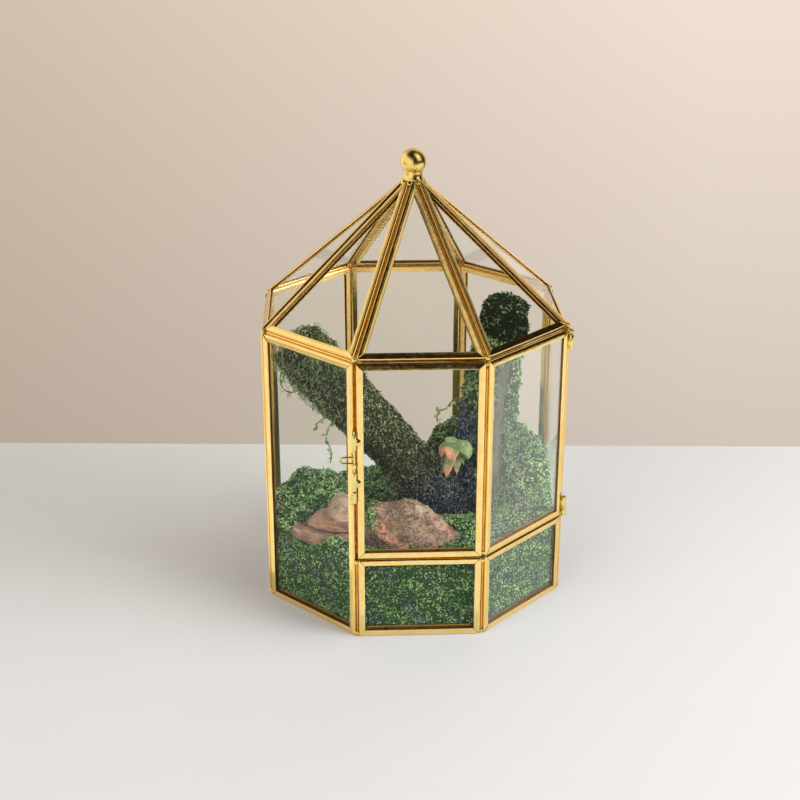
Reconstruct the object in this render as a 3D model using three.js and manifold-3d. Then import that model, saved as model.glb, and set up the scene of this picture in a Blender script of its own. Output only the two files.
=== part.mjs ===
// A glass plant terrarium: an eight-sided glazed house of brass came with a
// pointed roof and a two-pane bent door, planted with moss, driftwood, stone and
// a succulent. Millimetres, +Z up, the front towards -Y. The origin is the middle
// of the underside.
import * as THREE from "three";
import { mergeVertices } from "three/addons/utils/BufferGeometryUtils.js";
import Module from "manifold-3d";

// ---------------------------------------------------------------------------
// Driving dimensions of the glazed case
// ---------------------------------------------------------------------------
const SIDES = 8;
const SIDE_LENGTH = 98; // outer corner to outer corner
const WALL_HEIGHT = 228.3; // table to the eave line
const ROOF_RISE = 110.9; // eave line to the point of the roof
const SILL_HEIGHT = 67.3; // line between the sill panes and the door
const CAME_DEPTH = 4; // across the thickness of a pane
const CAME_FACE = 5; // seen width of the brass on a pane
const CAME_SHEET = 0.7; // thickness of a flange
const CAME_WEB = 0.9; // thickness of the web behind the glass edge
const CAME_ROUND = 0.5; // radius of the folded edges
const GLASS_THICKNESS = 2;
const GLASS_PLAY = 0.3; // glass edge to the web
const PANE_GAP = 0.3; // between neighbouring panes, where solder joins them
const DOOR_GAP = 0.5; // running gap over and under the door

const TURN = (2 * Math.PI) / SIDES;
const APOTHEM = SIDE_LENGTH / (2 * Math.tan(TURN / 2));
const INNER_APOTHEM = APOTHEM - CAME_DEPTH;
const INNER_SIDE = 2 * INNER_APOTHEM * Math.tan(TURN / 2);
const ROOF_PITCH = Math.atan2(ROOF_RISE, APOTHEM);
const ROOF_DROP = CAME_DEPTH / Math.cos(ROOF_PITCH); // inner roof below the outer one
const APEX_HEIGHT = WALL_HEIGHT + ROOF_RISE;
const INNER_EAVE_HEIGHT = WALL_HEIGHT + CAME_DEPTH * Math.tan(ROOF_PITCH) - ROOF_DROP;

// ---------------------------------------------------------------------------
// Finial, hinges and latch
// ---------------------------------------------------------------------------
const BALL_RADIUS = 9.85;
const BALL_HEIGHT = 346.3;
const COLLAR_RADIUS = 7.5;
const COLLAR_WAIST = 6.9;
const COLLAR_BORE = 3.6; // the point of the roof stands up into the collar
const FIT_GAP = 0.3; // between pieces that touch

const HINGE_RADIUS_OUT = 129.2; // from the middle of the case to the hinge line
const HINGE_TUBE = { outer: 2, inner: 1.15 };
const HINGE_PIN = 0.8;
const UPPER_HINGE = { low: 210.6, high: 221.9, lug: 224.6, lugRadius: 2.1 };
const LOWER_HINGE = { low: 73.1, high: 83.8, lugLow: 66.8 };

const LATCH_RADIUS_OUT = 128.35;
const LATCH_TUBE = { outer: 1.6, inner: 1.05 };
const LATCH_PIN = 0.75;
const UPPER_GUIDE = { low: 159, high: 171.5 };
const LOWER_GUIDE = { low: 125.4, high: 140.6 };
const KEEPER = { low: 115.6, high: 124.7 };
const BOLT = { low: 125.1, high: 174 };
const BOLT_COLLAR = { low: 144.1, high: 147.4, radius: 1.5 };
const LOOP = { low: 148.2, high: 153.1, reach: 10.8, wire: 0.6 };

// ---------------------------------------------------------------------------
// Planting
// ---------------------------------------------------------------------------
const SEED = 20417;
const BED_FLOOR = CAME_DEPTH + FIT_GAP; // the bed rests on the floor's came
const BED_CLEARANCE = 0.5; // bed to the walls
const BED_CELL = 5.6; // grid of the moss surface
const BED_RELIEF = 2;
const BED_TUFT = 1.7;
const FRONT_LEVEL = 63;
const BACK_LEVEL = 37;
const LEVEL_FALL = [-55, 25]; // where the level falls from front to back
// Hills of the moss bed: middle, rise over the level and reach.
const HILLS = [
  { x: -74, y: -12, rise: 43, reach: 30 },
  { x: -108, y: -24, rise: 19, reach: 22 },
  { x: -92, y: -74, rise: -9, reach: 22 },
  { x: 98, y: 22, rise: 62, reach: 35 },
  { x: 96, y: -34, rise: 8, reach: 30 },
  { x: 32, y: 46, rise: 66, reach: 24 },
  { x: 74, y: 62, rise: 38, reach: 34 },
];
const HILL_SHAPE = 2.8; // over 2 flattens a hill's top and steepens its flanks

// Limbs of the driftwood: points of its middle line, radius at foot and top, and
// how far the rounded end stands out.
const WOOD_RELIEF = 1.3;
const WOOD_SIDES = 16;
const TRUNK = {
  points: [[60, 12, 22], [60, 12, 70], [61, 12, 120], [65, 11, 165], [72, 9, 205], [75, 8, 224]],
  foot: 21,
  top: 13.5,
  end: 7,
};
const BRANCH = {
  points: [[42, 8, 34], [17, 4, 66], [-5, 1, 95], [-25, 0, 120], [-71, 0, 173], [-91, 0, 197]],
  foot: 23,
  top: 14,
  end: 6,
};

// Moss mats on the wood.
const COAT_SEAT = 0.4; // mat to the wood under it
const MAT = 4.2;
const MAT_RELIEF = 1.2;
const MAT_TUFT = 1.3;
const MAT_SWELL = 3.5;
const CROWN_MAT = 5.2;
const CROWN_TUFT = 2;
const CROWN_SWELL = 3;
const BRANCH_MAT_FROM = 0.04; // places along a limb, 0 at its foot and 1 at its top
const TRUNK_MAT_SPAN = [0.13, 0.79];
const CROWN_MAT_FROM = 0.8;
const MOSSY_GIRTH = [2.4, 7.95]; // round the trunk from its right, by the back, to its front
const CREEPER_RADIUS = 0.65;
const CREEPER_LEAF = { length: 4.2, width: 2.8, thickness: 1.2 };
const BRANCH_CREEPERS = [
  {
    points: [[-96, -10, 190], [-105, -17, 180], [-104, -19, 170], [-98, -18, 165], [-88, -12, 165]],
    leaves: 9,
  },
  {
    points: [[-60, -10, 142], [-67, -17, 134], [-70, -18, 124], [-66, -18, 113], [-67, -17, 102]],
    leaves: 9,
  },
  { points: [[-62, -12, 141], [-69, -17, 142], [-76, -19, 139], [-79, -19, 132]], leaves: 6 },
];
const TRUNK_CREEPER = {
  points: [[48, 4, 149], [34, 0, 149], [27, -2, 142], [21, -2, 139], [20, -2, 130]],
  leaves: 7,
};

// Stones: outline seen from above, middle, underside, and the ridge line of the
// top as x and height, which falls to the front from ridgeY.
const STONE_SIDES = 26;
const STONE_BREAK = 0.9;
const STONES = {
  stone_slab_lower: {
    outline: [[-101, -54], [-84, -72], [-62, -80], [-43, -78], [-42, -48], [-60, -38], [-82, -42]],
    middle: [-68, -59],
    low: 57,
    ridge: [[-101, 65.6], [-42, 65.9]],
    ridgeY: -59,
    fall: 0.02,
    grain: 0.6,
  },
  stone_slab_upper: {
    outline: [[-88, -58], [-74, -68], [-58, -72], [-43, -70], [-42, -46], [-56, -38], [-74, -44]],
    middle: [-62, -56],
    low: 66.9,
    ridge: [[-92, 72], [-80, 75], [-70, 77.5], [-65, 85.5], [-60, 88.3], [-42, 87]],
    ridgeY: -50,
    fall: 0.14,
    grain: 0.9,
  },
  stone_block: {
    outline: [[-37, -84], [-20, -94], [8, -95], [30, -86], [37, -70], [14, -52], [-14, -44], [-36, -48]],
    middle: [-4, -72],
    low: 55,
    ridge: [[-42, 82.5], [-15, 82], [-8, 86], [0, 85], [8, 81], [18, 75], [28, 69], [37, 64]],
    ridgeY: -58,
    fall: 0.34,
    grain: 1.1,
  },
};

// Succulent: where its stem roots and where its leaves spring from.
const LEAF_SIDES = 8;
const SUCCULENT = {
  root: [24, -12, 90],
  crown: [33, -22, 117],
  stem: 1.7,
  leaves: [
    { yaw: 3.3, lift: 0.7, droop: 2.2, length: 22.5, width: 13, depth: 8 },
    { yaw: 4.5, lift: 0.9, droop: 2.5, length: 21.5, width: 14, depth: 9 },
    { yaw: 5.75, lift: 0.6, droop: 2.2, length: 23, width: 17, depth: 10 },
    { yaw: 4.1, lift: -0.6, droop: 1.1, length: 26, width: 12, depth: 8 },
    { yaw: 5, lift: -0.7, droop: 0.9, length: 27, width: 9, depth: 7 },
    { yaw: 2.2, lift: 1.1, droop: 1.6, length: 13, width: 10, depth: 7 },
    { yaw: 0.4, lift: 1, droop: 2, length: 13, width: 11, depth: 7 },
  ],
};

// ---------------------------------------------------------------------------
// Materials, with the colours the photo shows
// ---------------------------------------------------------------------------
function material(color, roughness, metalness, extra = {}) {
  return new THREE.MeshStandardMaterial({ color, roughness, metalness, ...extra });
}
const brass = () => material(0xd9a441, 0.25, 1);
const glass = () => material(0xdfe8e2, 0.05, 0, { transparent: true, opacity: 0.25 });
const bark = () => material(0x5d4d3f, 0.9, 0);
const floorMoss = () => material(0x3f6b2a, 1, 0);
const branchMoss = () => material(0x5a5a2c, 1, 0);
const trunkMoss = () => material(0x3c5530, 1, 0);
const crownMoss = () => material(0x2c4a1f, 1, 0);
const stone = () => material(0x8f5a49, 0.85, 0);
const succulentLeaf = () => material(0x7f9a62, 0.5, 0);

const terrarium = new THREE.Group();
const caseGroup = new THREE.Group();
const doorGroup = new THREE.Group();
const boltGroup = new THREE.Group();
const plantGroup = new THREE.Group();
terrarium.add(caseGroup, doorGroup, plantGroup);
doorGroup.add(boltGroup);

function addMesh(group, name, geometry, surface) {
  const mesh = new THREE.Mesh(geometry, surface);
  mesh.name = name;
  group.add(mesh);
  return mesh;
}

// ---------------------------------------------------------------------------
// Solids: joining, cutting and closed surfaces
// ---------------------------------------------------------------------------
const wasm = await Module();
wasm.setup();

function toSolid(geometry) {
  const bare = geometry.index ? geometry.toNonIndexed() : geometry.clone();
  bare.deleteAttribute("normal");
  bare.deleteAttribute("uv");
  const merged = mergeVertices(bare, 1e-4);
  return new wasm.Manifold(
    new wasm.Mesh({
      numProp: 3,
      vertProperties: merged.attributes.position.array,
      triVerts: new Uint32Array(merged.index.array),
    }),
  );
}

function toGeometry(solid) {
  const mesh = solid.getMesh();
  const geometry = new THREE.BufferGeometry();
  geometry.setAttribute("position", new THREE.BufferAttribute(mesh.vertProperties, 3));
  geometry.setIndex(new THREE.BufferAttribute(mesh.triVerts, 1));
  geometry.computeVertexNormals();
  return geometry;
}

// The largest body of a solid, with the loose scraps of a cut dropped.
function largestBody(solid) {
  const bodies = solid.decompose();
  return bodies.reduce((best, body) => (body.volume() > best.volume() ? body : best));
}

function fuse(geometries) {
  return geometries.map(toSolid).reduce((all, next) => all.add(next));
}

function surfaceFrom(points, triangles) {
  const geometry = new THREE.BufferGeometry();
  const flat = points.flatMap((p) => [p.x, p.y, p.z]);
  geometry.setAttribute("position", new THREE.Float32BufferAttribute(flat, 3));
  geometry.setIndex(triangles);
  geometry.computeVertexNormals();
  return geometry;
}

// Joins rings of equally many points into a wall, turned to face outwards when
// the rings run anticlockwise round the way they follow each other.
function ringWall(first, second, count, triangles) {
  for (let j = 0; j < count; j++) {
    const k = (j + 1) % count;
    triangles.push(first + j, first + k, second + k);
    triangles.push(first + j, second + k, second + j);
  }
}

// A closed body from a stack of rings, with a fan to a middle point at each end.
function stackedRings(rings) {
  const count = rings[0].length;
  const points = rings.flat();
  const triangles = [];
  for (let i = 0; i + 1 < rings.length; i++) ringWall(i * count, (i + 1) * count, count, triangles);
  const last = (rings.length - 1) * count;
  const low = points.push(middleOf(rings[0])) - 1;
  const high = points.push(middleOf(rings[rings.length - 1])) - 1;
  for (let j = 0; j < count; j++) {
    const k = (j + 1) % count;
    triangles.push(low, k, j);
    triangles.push(high, last + j, last + k);
  }
  return surfaceFrom(points, triangles);
}

function middleOf(ring) {
  const sum = ring.reduce((total, p) => total.add(p), new THREE.Vector3());
  return sum.divideScalar(ring.length);
}

// A closed ring-shaped body from loops that return to the first one.
function loopedRings(rings) {
  const count = rings[0].length;
  const triangles = [];
  rings.forEach((ring, i) => {
    const next = (i + 1) % rings.length;
    ringWall(i * count, next * count, count, triangles);
  });
  return surfaceFrom(rings.flat(), triangles);
}

// A thick patch between two grids of points: the front grid seen from outside,
// with its rows and columns anticlockwise, and the back grid behind it.
function thickPatch(front, back) {
  const rows = front.length;
  const columns = front[0].length;
  const offset = rows * columns;
  const at = (i, j) => i * columns + j;
  const triangles = [];
  for (let i = 0; i + 1 < rows; i++) {
    for (let j = 0; j + 1 < columns; j++) {
      const [a, b, c, d] = [at(i, j), at(i, j + 1), at(i + 1, j + 1), at(i + 1, j)];
      triangles.push(a, b, c, a, c, d);
      triangles.push(offset + a, offset + c, offset + b);
      triangles.push(offset + a, offset + d, offset + c);
    }
  }
  const rim = [];
  for (let j = 0; j < columns - 1; j++) rim.push(at(0, j));
  for (let i = 0; i < rows - 1; i++) rim.push(at(i, columns - 1));
  for (let j = columns - 1; j > 0; j--) rim.push(at(rows - 1, j));
  for (let i = rows - 1; i > 0; i--) rim.push(at(i, 0));
  rim.forEach((a, n) => {
    const b = rim[(n + 1) % rim.length];
    triangles.push(a, offset + b, b);
    triangles.push(a, offset + a, offset + b);
  });
  return surfaceFrom([...front.flat(), ...back.flat()], triangles);
}

// ---------------------------------------------------------------------------
// Seeded unevenness of grown and broken surfaces
// ---------------------------------------------------------------------------
function randomSource(seed) {
  let state = seed;
  return () => {
    state = (state * 1664525 + 1013904223) % 4294967296;
    return state / 4294967296;
  };
}

// A smooth sum of waves with seeded directions, between about -1 and 1.
function waves(seed, wavelength, count = 9) {
  const random = randomSource(seed);
  const terms = Array.from({ length: count }, () => {
    const direction = new THREE.Vector3(random() - 0.5, random() - 0.5, random() - 0.5);
    const length = wavelength * (0.7 + 0.8 * random());
    direction.normalize().multiplyScalar((2 * Math.PI) / length);
    return { direction, phase: 2 * Math.PI * random() };
  });
  return (x, y, z) => {
    let sum = 0;
    for (const { direction, phase } of terms) {
      sum += Math.sin(direction.x * x + direction.y * y + direction.z * z + phase);
    }
    return THREE.MathUtils.clamp((1.6 * sum) / count, -1, 1);
  };
}

// A tuft's own height, -1 to 1: as good as random, but always the same at a place.
function tuft(x, y, z) {
  const mixed = Math.sin(12.9898 * x + 78.233 * y + 37.719 * z) * 43758.5453;
  return 2 * (mixed - Math.floor(mixed)) - 1;
}

// ---------------------------------------------------------------------------
// A glazed pane: a U-shaped came, mitred at the corners, round a flat glass
// ---------------------------------------------------------------------------
// The outline's corner moved inwards by the same distance from both its sides.
function insetOutline(outline, distance) {
  return outline.map((corner, i) => {
    const before = outline[(i + outline.length - 1) % outline.length];
    const after = outline[(i + 1) % outline.length];
    const arriving = corner.clone().sub(before).normalize();
    const leaving = after.clone().sub(corner).normalize();
    const inward = new THREE.Vector2(-arriving.y, arriving.x);
    const inwardNext = new THREE.Vector2(-leaving.y, leaving.x);
    const mitre = inward.clone().add(inwardNext);
    return corner.clone().add(mitre.multiplyScalar(distance / (1 + inward.dot(inwardNext))));
  });
}

// Section of the came: how far in from the pane's edge, and how far out from
// its inner face. Both flanges have rounded edges, and the slot opens inwards.
function cameSection() {
  const r = CAME_ROUND;
  const corner = (x, y, from) =>
    [0, 1, 2].map((step) => {
      const angle = from - (step * Math.PI) / 4;
      return [x + r * Math.cos(angle), y + r * Math.sin(angle)];
    });
  return [
    ...corner(r, r, 1.5 * Math.PI),
    ...corner(r, CAME_DEPTH - r, Math.PI),
    [CAME_FACE, CAME_DEPTH],
    [CAME_FACE, CAME_DEPTH - CAME_SHEET],
    [CAME_WEB, CAME_DEPTH - CAME_SHEET],
    [CAME_WEB, CAME_SHEET],
    [CAME_FACE, CAME_SHEET],
    [CAME_FACE, 0],
  ];
}

// The came's own loops: each point of the section carried round the outline.
function cameGeometry(outline) {
  const rings = cameSection().map(([inset, height]) =>
    insetOutline(outline, inset).map((p) => new THREE.Vector3(p.x, p.y, height)),
  );
  return loopedRings(rings);
}

function glassGeometry(outline) {
  const edge = insetOutline(outline, CAME_WEB + GLASS_PLAY);
  const sheet = new THREE.ExtrudeGeometry(new THREE.Shape(edge), {
    depth: GLASS_THICKNESS,
    bevelEnabled: false,
  });
  return sheet.translate(0, 0, (CAME_DEPTH - GLASS_THICKNESS) / 2);
}

// Adds NAME_came and NAME_glass. The outline lies in the pane's own plane, and
// place carries its Z axis to the way the pane faces.
function framedPane(group, name, outline, place) {
  const came = addMesh(group, `${name}_came`, cameGeometry(outline), brass());
  const sheet = addMesh(group, `${name}_glass`, glassGeometry(outline), glass());
  for (const mesh of [came, sheet]) mesh.applyMatrix4(place);
}

// Azimuth of face k's outward normal. Face 0 is the front, and they go round
// anticlockwise seen from above: front right, right, back right and so on.
const faceAngle = (k) => -Math.PI / 2 + k * TURN;

// The frame of an upright pane on face k: X along the wall, Y up, Z outwards.
function wallPlace(k) {
  const angle = faceAngle(k);
  const outward = new THREE.Vector3(Math.cos(angle), Math.sin(angle), 0);
  const up = new THREE.Vector3(0, 0, 1);
  const along = up.clone().cross(outward);
  const place = new THREE.Matrix4().makeBasis(along, up, outward);
  return place.setPosition(outward.multiplyScalar(INNER_APOTHEM));
}

function uprightOutline(low, high) {
  const half = (INNER_SIDE - PANE_GAP) / 2;
  return [
    new THREE.Vector2(-half, low),
    new THREE.Vector2(half, low),
    new THREE.Vector2(half, high),
    new THREE.Vector2(-half, high),
  ];
}

// The frame of a roof pane: X along the eave, Y up the slope, Z outwards, with
// its origin on the eave's inner edge.
function roofPlace(k) {
  const angle = faceAngle(k);
  const level = new THREE.Vector3(Math.cos(angle), Math.sin(angle), 0);
  const up = new THREE.Vector3(0, 0, 1);
  const along = up.clone().cross(level);
  const outward = level.clone().multiplyScalar(Math.sin(ROOF_PITCH));
  outward.addScaledVector(up, Math.cos(ROOF_PITCH));
  const slope = outward.clone().cross(along);
  const place = new THREE.Matrix4().makeBasis(along, slope, outward);
  const origin = level.multiplyScalar(INNER_APOTHEM);
  origin.z = INNER_EAVE_HEIGHT;
  return place.setPosition(origin);
}

function roofOutline() {
  const slant = INNER_APOTHEM / Math.cos(ROOF_PITCH);
  const triangle = [
    new THREE.Vector2(-INNER_SIDE / 2, 0),
    new THREE.Vector2(INNER_SIDE / 2, 0),
    new THREE.Vector2(0, slant),
  ];
  return insetOutline(triangle, PANE_GAP / 2);
}

const FACE_NAMES = [
  "front",
  "front_right",
  "right",
  "back_right",
  "back",
  "back_left",
  "left",
  "front_left",
];
const DOOR_FACES = ["front", "front_right"];

FACE_NAMES.forEach((face, k) => {
  const wallTop = INNER_EAVE_HEIGHT - PANE_GAP / 2;
  if (DOOR_FACES.includes(face)) {
    const sill = uprightOutline(0, SILL_HEIGHT - DOOR_GAP / 2);
    const leaf = uprightOutline(SILL_HEIGHT + DOOR_GAP / 2, wallTop - DOOR_GAP / 2);
    framedPane(caseGroup, `sill_${face}`, sill, wallPlace(k));
    framedPane(doorGroup, `door_${face}`, leaf, wallPlace(k));
  } else {
    framedPane(caseGroup, `wall_${face}`, uprightOutline(0, wallTop), wallPlace(k));
  }
  framedPane(caseGroup, `roof_${face}`, roofOutline(), roofPlace(k));
});

function floorOutline() {
  const radius = (INNER_APOTHEM - PANE_GAP) / Math.cos(TURN / 2);
  return FACE_NAMES.map((_, k) => {
    const angle = faceAngle(k) - TURN / 2;
    return new THREE.Vector2(radius * Math.cos(angle), radius * Math.sin(angle));
  });
}
framedPane(caseGroup, "floor", floorOutline(), new THREE.Matrix4());

// ---------------------------------------------------------------------------
// Finial: a turned collar ring that sits on the ribs, and the ball in its cup
// ---------------------------------------------------------------------------
function turned(profile, segments = 24) {
  const points = profile.map(([radius, height]) => new THREE.Vector2(radius, height));
  const geometry = new THREE.LatheGeometry(points, segments);
  return geometry.rotateX(Math.PI / 2);
}

const ribFall = Math.cos(TURN / 2) * Math.tan(ROOF_PITCH); // of the rib, per mm outwards
const collarUnder = (radius) => APEX_HEIGHT + FIT_GAP - radius * ribFall;
const ballUnder = (radius) => BALL_HEIGHT - FIT_GAP - Math.sqrt(BALL_RADIUS ** 2 - radius ** 2);
const collarFoot = collarUnder(COLLAR_RADIUS);
const collarProfile = [
  [COLLAR_BORE, collarUnder(COLLAR_BORE)],
  [COLLAR_RADIUS, collarFoot],
  [COLLAR_RADIUS, collarFoot + 2],
  [COLLAR_WAIST + 0.2, collarFoot + 3.6],
  [COLLAR_WAIST, ballUnder(COLLAR_WAIST)],
  [COLLAR_BORE + 1.6, ballUnder(COLLAR_BORE + 1.6)],
  [COLLAR_BORE, ballUnder(COLLAR_BORE)],
  [COLLAR_BORE, collarUnder(COLLAR_BORE)],
];
addMesh(caseGroup, "finial_collar", turned(collarProfile), brass());
const ball = new THREE.SphereGeometry(BALL_RADIUS, 20, 12).rotateX(Math.PI / 2);
addMesh(caseGroup, "finial_ball", ball, brass()).position.z = BALL_HEIGHT;

// ---------------------------------------------------------------------------
// Hinges, outside the corner between the front right and the right wall
// ---------------------------------------------------------------------------
function cornerPoint(angle, radius) {
  return new THREE.Vector3(radius * Math.cos(angle), radius * Math.sin(angle), 0);
}
const HINGE_LINE = cornerPoint(faceAngle(1) + TURN / 2, HINGE_RADIUS_OUT);
const LATCH_LINE = cornerPoint(faceAngle(0) - TURN / 2, LATCH_RADIUS_OUT);

// A length of tube, closed as a ring-shaped turned profile.
function tube(outer, inner, low, high) {
  return turned(
    [
      [inner, low],
      [outer, low],
      [outer, high],
      [inner, high],
      [inner, low],
    ],
    16,
  );
}

function rod(radius, low, high) {
  return turned([[0, low], [radius, low], [radius, high], [0, high]], 16);
}

function addAt(group, name, geometry, line) {
  addMesh(group, name, geometry, brass()).position.copy(line);
}

const { outer: hingeOuter, inner: hingeInner } = HINGE_TUBE;
const upperTube = tube(hingeOuter, hingeInner, UPPER_HINGE.low, UPPER_HINGE.high);
const lowerTube = tube(hingeOuter, hingeInner, LOWER_HINGE.low + FIT_GAP, LOWER_HINGE.high);
addAt(doorGroup, "hinge_tube_upper", upperTube, HINGE_LINE);
addAt(doorGroup, "hinge_tube_lower", lowerTube, HINGE_LINE);

// The upper pin hangs from a bead of solder at the eave.
const bead = new THREE.SphereGeometry(UPPER_HINGE.lugRadius, 16, 10);
bead.rotateX(Math.PI / 2);
bead.translate(0, 0, UPPER_HINGE.lug);
const upperPin = fuse([bead, rod(HINGE_PIN, UPPER_HINGE.low + 1.4, UPPER_HINGE.lug)]);
addAt(caseGroup, "hinge_pin_upper", toGeometry(upperPin), HINGE_LINE);

// The lower pin stands on a lug beside the sill.
const lug = rod(hingeOuter, LOWER_HINGE.lugLow, LOWER_HINGE.low);
const lowerPin = fuse([lug, rod(HINGE_PIN, LOWER_HINGE.lugLow + 1, LOWER_HINGE.high + 0.8)]);
addAt(caseGroup, "hinge_pin_lower", toGeometry(lowerPin), HINGE_LINE);

// ---------------------------------------------------------------------------
// Latch, in the groove between the door and the front left wall
// ---------------------------------------------------------------------------
const { outer: latchOuter, inner: latchInner } = LATCH_TUBE;
const upperGuide = tube(latchOuter, latchInner, UPPER_GUIDE.low, UPPER_GUIDE.high);
const lowerGuide = tube(latchOuter, latchInner, LOWER_GUIDE.low, LOWER_GUIDE.high);
const keeper = tube(latchOuter, latchInner, KEEPER.low, KEEPER.high);
addAt(doorGroup, "latch_guide_upper", upperGuide, LATCH_LINE);
addAt(doorGroup, "latch_guide_lower", lowerGuide, LATCH_LINE);
addAt(caseGroup, "latch_keeper", keeper, LATCH_LINE);

// A tube along a curve, with as many sides and steps as given.
function alongCurve(points, radius, sides, steps) {
  const circle = new THREE.Shape(
    Array.from({ length: sides }, (_, i) => {
      const angle = (2 * Math.PI * i) / sides;
      return new THREE.Vector2(radius * Math.cos(angle), radius * Math.sin(angle));
    }),
  );
  const curve = new THREE.CatmullRomCurve3(points.map((p) => new THREE.Vector3(...p)));
  return new THREE.ExtrudeGeometry(circle, { steps, extrudePath: curve, bevelEnabled: false });
}

// The bolt's loop: out to the left, round and back, in one bent wire.
function loopPoints() {
  const { low, high, reach } = LOOP;
  const middle = (low + high) / 2;
  return [
    [0, 0, high],
    [-0.45 * reach, 0, high],
    [-0.82 * reach, 0, high - 0.5],
    [-reach, 0, middle],
    [-0.82 * reach, 0, low + 0.5],
    [-0.45 * reach, 0, low],
    [0, 0, low],
  ];
}
const bolt = fuse([
  rod(LATCH_PIN, BOLT.low, BOLT.high),
  rod(BOLT_COLLAR.radius, BOLT_COLLAR.low, BOLT_COLLAR.high),
  alongCurve(loopPoints(), LOOP.wire, 8, 26),
]);
addAt(boltGroup, "latch_bolt", toGeometry(bolt), LATCH_LINE);

// ---------------------------------------------------------------------------
// Driftwood: lumpy limbs that follow a curve in the XZ plane
// ---------------------------------------------------------------------------
const woodWaves = waves(SEED, 17);
const matWaves = waves(SEED + 1, 9);

// Middle and cross directions of a limb at t, pushed on along it by some length.
// Angle 0 is the limb's left, a quarter turn on is its front, half a turn its right.
function limbFrame(limb, t, push) {
  const curve = new THREE.CatmullRomCurve3(limb.points.map((p) => new THREE.Vector3(...p)));
  const tangent = curve.getTangent(t);
  const middle = curve.getPoint(t).addScaledVector(tangent, push);
  const side = tangent.clone().cross(new THREE.Vector3(0, 1, 0)).normalize();
  const depth = tangent.clone().cross(side).normalize();
  return { middle, side, depth };
}

// Points round the limb. radiusAt gives the radius from a point, its t and angle.
function limbRing(limb, t, push, angles, radiusAt) {
  const { middle, side, depth } = limbFrame(limb, t, push);
  return angles.map((angle) => {
    const way = side.clone().multiplyScalar(Math.cos(angle));
    way.addScaledVector(depth, Math.sin(angle));
    const probe = middle.clone().addScaledVector(way, limb.foot);
    return middle.clone().addScaledVector(way, radiusAt(probe, t, angle));
  });
}

function evenly(count, from, to) {
  return Array.from({ length: count }, (_, i) => from + ((to - from) * i) / (count - 1));
}

function wholeTurn(sides) {
  return evenly(sides + 1, 0, 2 * Math.PI).slice(0, sides);
}

const limbRadius = (limb, t) => limb.foot + (limb.top - limb.foot) * t;

function woodRadius(limb, grow) {
  return (p, t) => limbRadius(limb, t) + grow + WOOD_RELIEF * woodWaves(p.x, p.y, p.z);
}

// Rings from one place on the limb to its upper end, and on over a rounded end
// that stands out by reach.
function limbStack(limb, from, sides, rings, radiusAt, reach) {
  const turn = wholeTurn(sides);
  const stack = evenly(rings, from, 1).map((t) => limbRing(limb, t, 0, turn, radiusAt));
  for (const bend of [0.45, 0.85, 1.15, 1.4]) {
    const rounded = (p, t, angle) => radiusAt(p, t, angle) * Math.cos(bend);
    stack.push(limbRing(limb, 1, reach * Math.sin(bend), turn, rounded));
  }
  return stack;
}

function limbSolid(limb, grow) {
  return toSolid(
    stackedRings(limbStack(limb, 0, WOOD_SIDES, 14, woodRadius(limb, grow), limb.end + grow)),
  );
}

// A plain tapering hole that a limb and its moss stand in.
function limbHole(limb, thickness) {
  const radiusAt = (p, t) => limbRadius(limb, t) + thickness;
  const turn = wholeTurn(14);
  const stack = evenly(8, 0, 1).map((t) => limbRing(limb, t, 0, turn, radiusAt));
  return toSolid(stackedRings([limbRing(limb, 0, -FIT_GAP - 1, turn, radiusAt), ...stack]));
}

const driftwood = limbSolid(TRUNK, 0).add(limbSolid(BRANCH, 0));
addMesh(plantGroup, "driftwood", toGeometry(largestBody(driftwood)), bark());

// ---------------------------------------------------------------------------
// Moss mats on the wood, with tufts raised by a formula
// ---------------------------------------------------------------------------
// The mat's outer radius: over the wood, thickened by swell, with its tufts.
function matRadius(limb, thickness, tuftSize, swell = () => 0) {
  return (p, t, angle) =>
    woodRadius(limb, COAT_SEAT)(p, t) +
    thickness +
    swell(t, angle) +
    MAT_RELIEF * matWaves(p.x, p.y, p.z) +
    tuftSize * tuft(p.x, p.y, p.z);
}

// A mat all round a limb from t to its end, closed over the end like a sock.
function sockSolid(limb, from, sides, rings, thickness, outerAt) {
  const reach = limb.end + COAT_SEAT + thickness;
  return toSolid(stackedRings(limbStack(limb, from, sides, rings, outerAt, reach)));
}

// A mat over part of a limb's girth, between two places and two angles. It runs
// on into the wood, which is cut out of it afterwards.
function wrapSolid(limb, [from, to], [start, end], columns, rows, outerAt) {
  const angles = evenly(columns, start, end);
  const grid = (radiusAt) =>
    evenly(rows, from, to).map((t) => limbRing(limb, t, 0, angles, radiusAt));
  return toSolid(thickPatch(grid(outerAt), grid(woodRadius(limb, -MAT))));
}

// The trunk's mat is thicker on its right, about its middle height.
function trunkSwell(t, angle) {
  const right = Math.max(0, -Math.cos(angle));
  return MAT_SWELL * right * Math.sin(Math.PI * t) ** 2;
}

// The crown bulges low down on its right.
function crownSwell(t, angle) {
  const right = Math.max(0, -Math.cos(angle));
  return CROWN_SWELL * right * THREE.MathUtils.smoothstep(1 - t, 0, 0.12);
}

const matDepth = WOOD_RELIEF + COAT_SEAT + MAT + MAT_RELIEF + MAT_TUFT + FIT_GAP;
const branchOuter = matRadius(BRANCH, MAT, MAT_TUFT);
const trunkOuter = matRadius(TRUNK, MAT, MAT_TUFT, trunkSwell);
const crownOuter = matRadius(TRUNK, CROWN_MAT, CROWN_TUFT, crownSwell);

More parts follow.
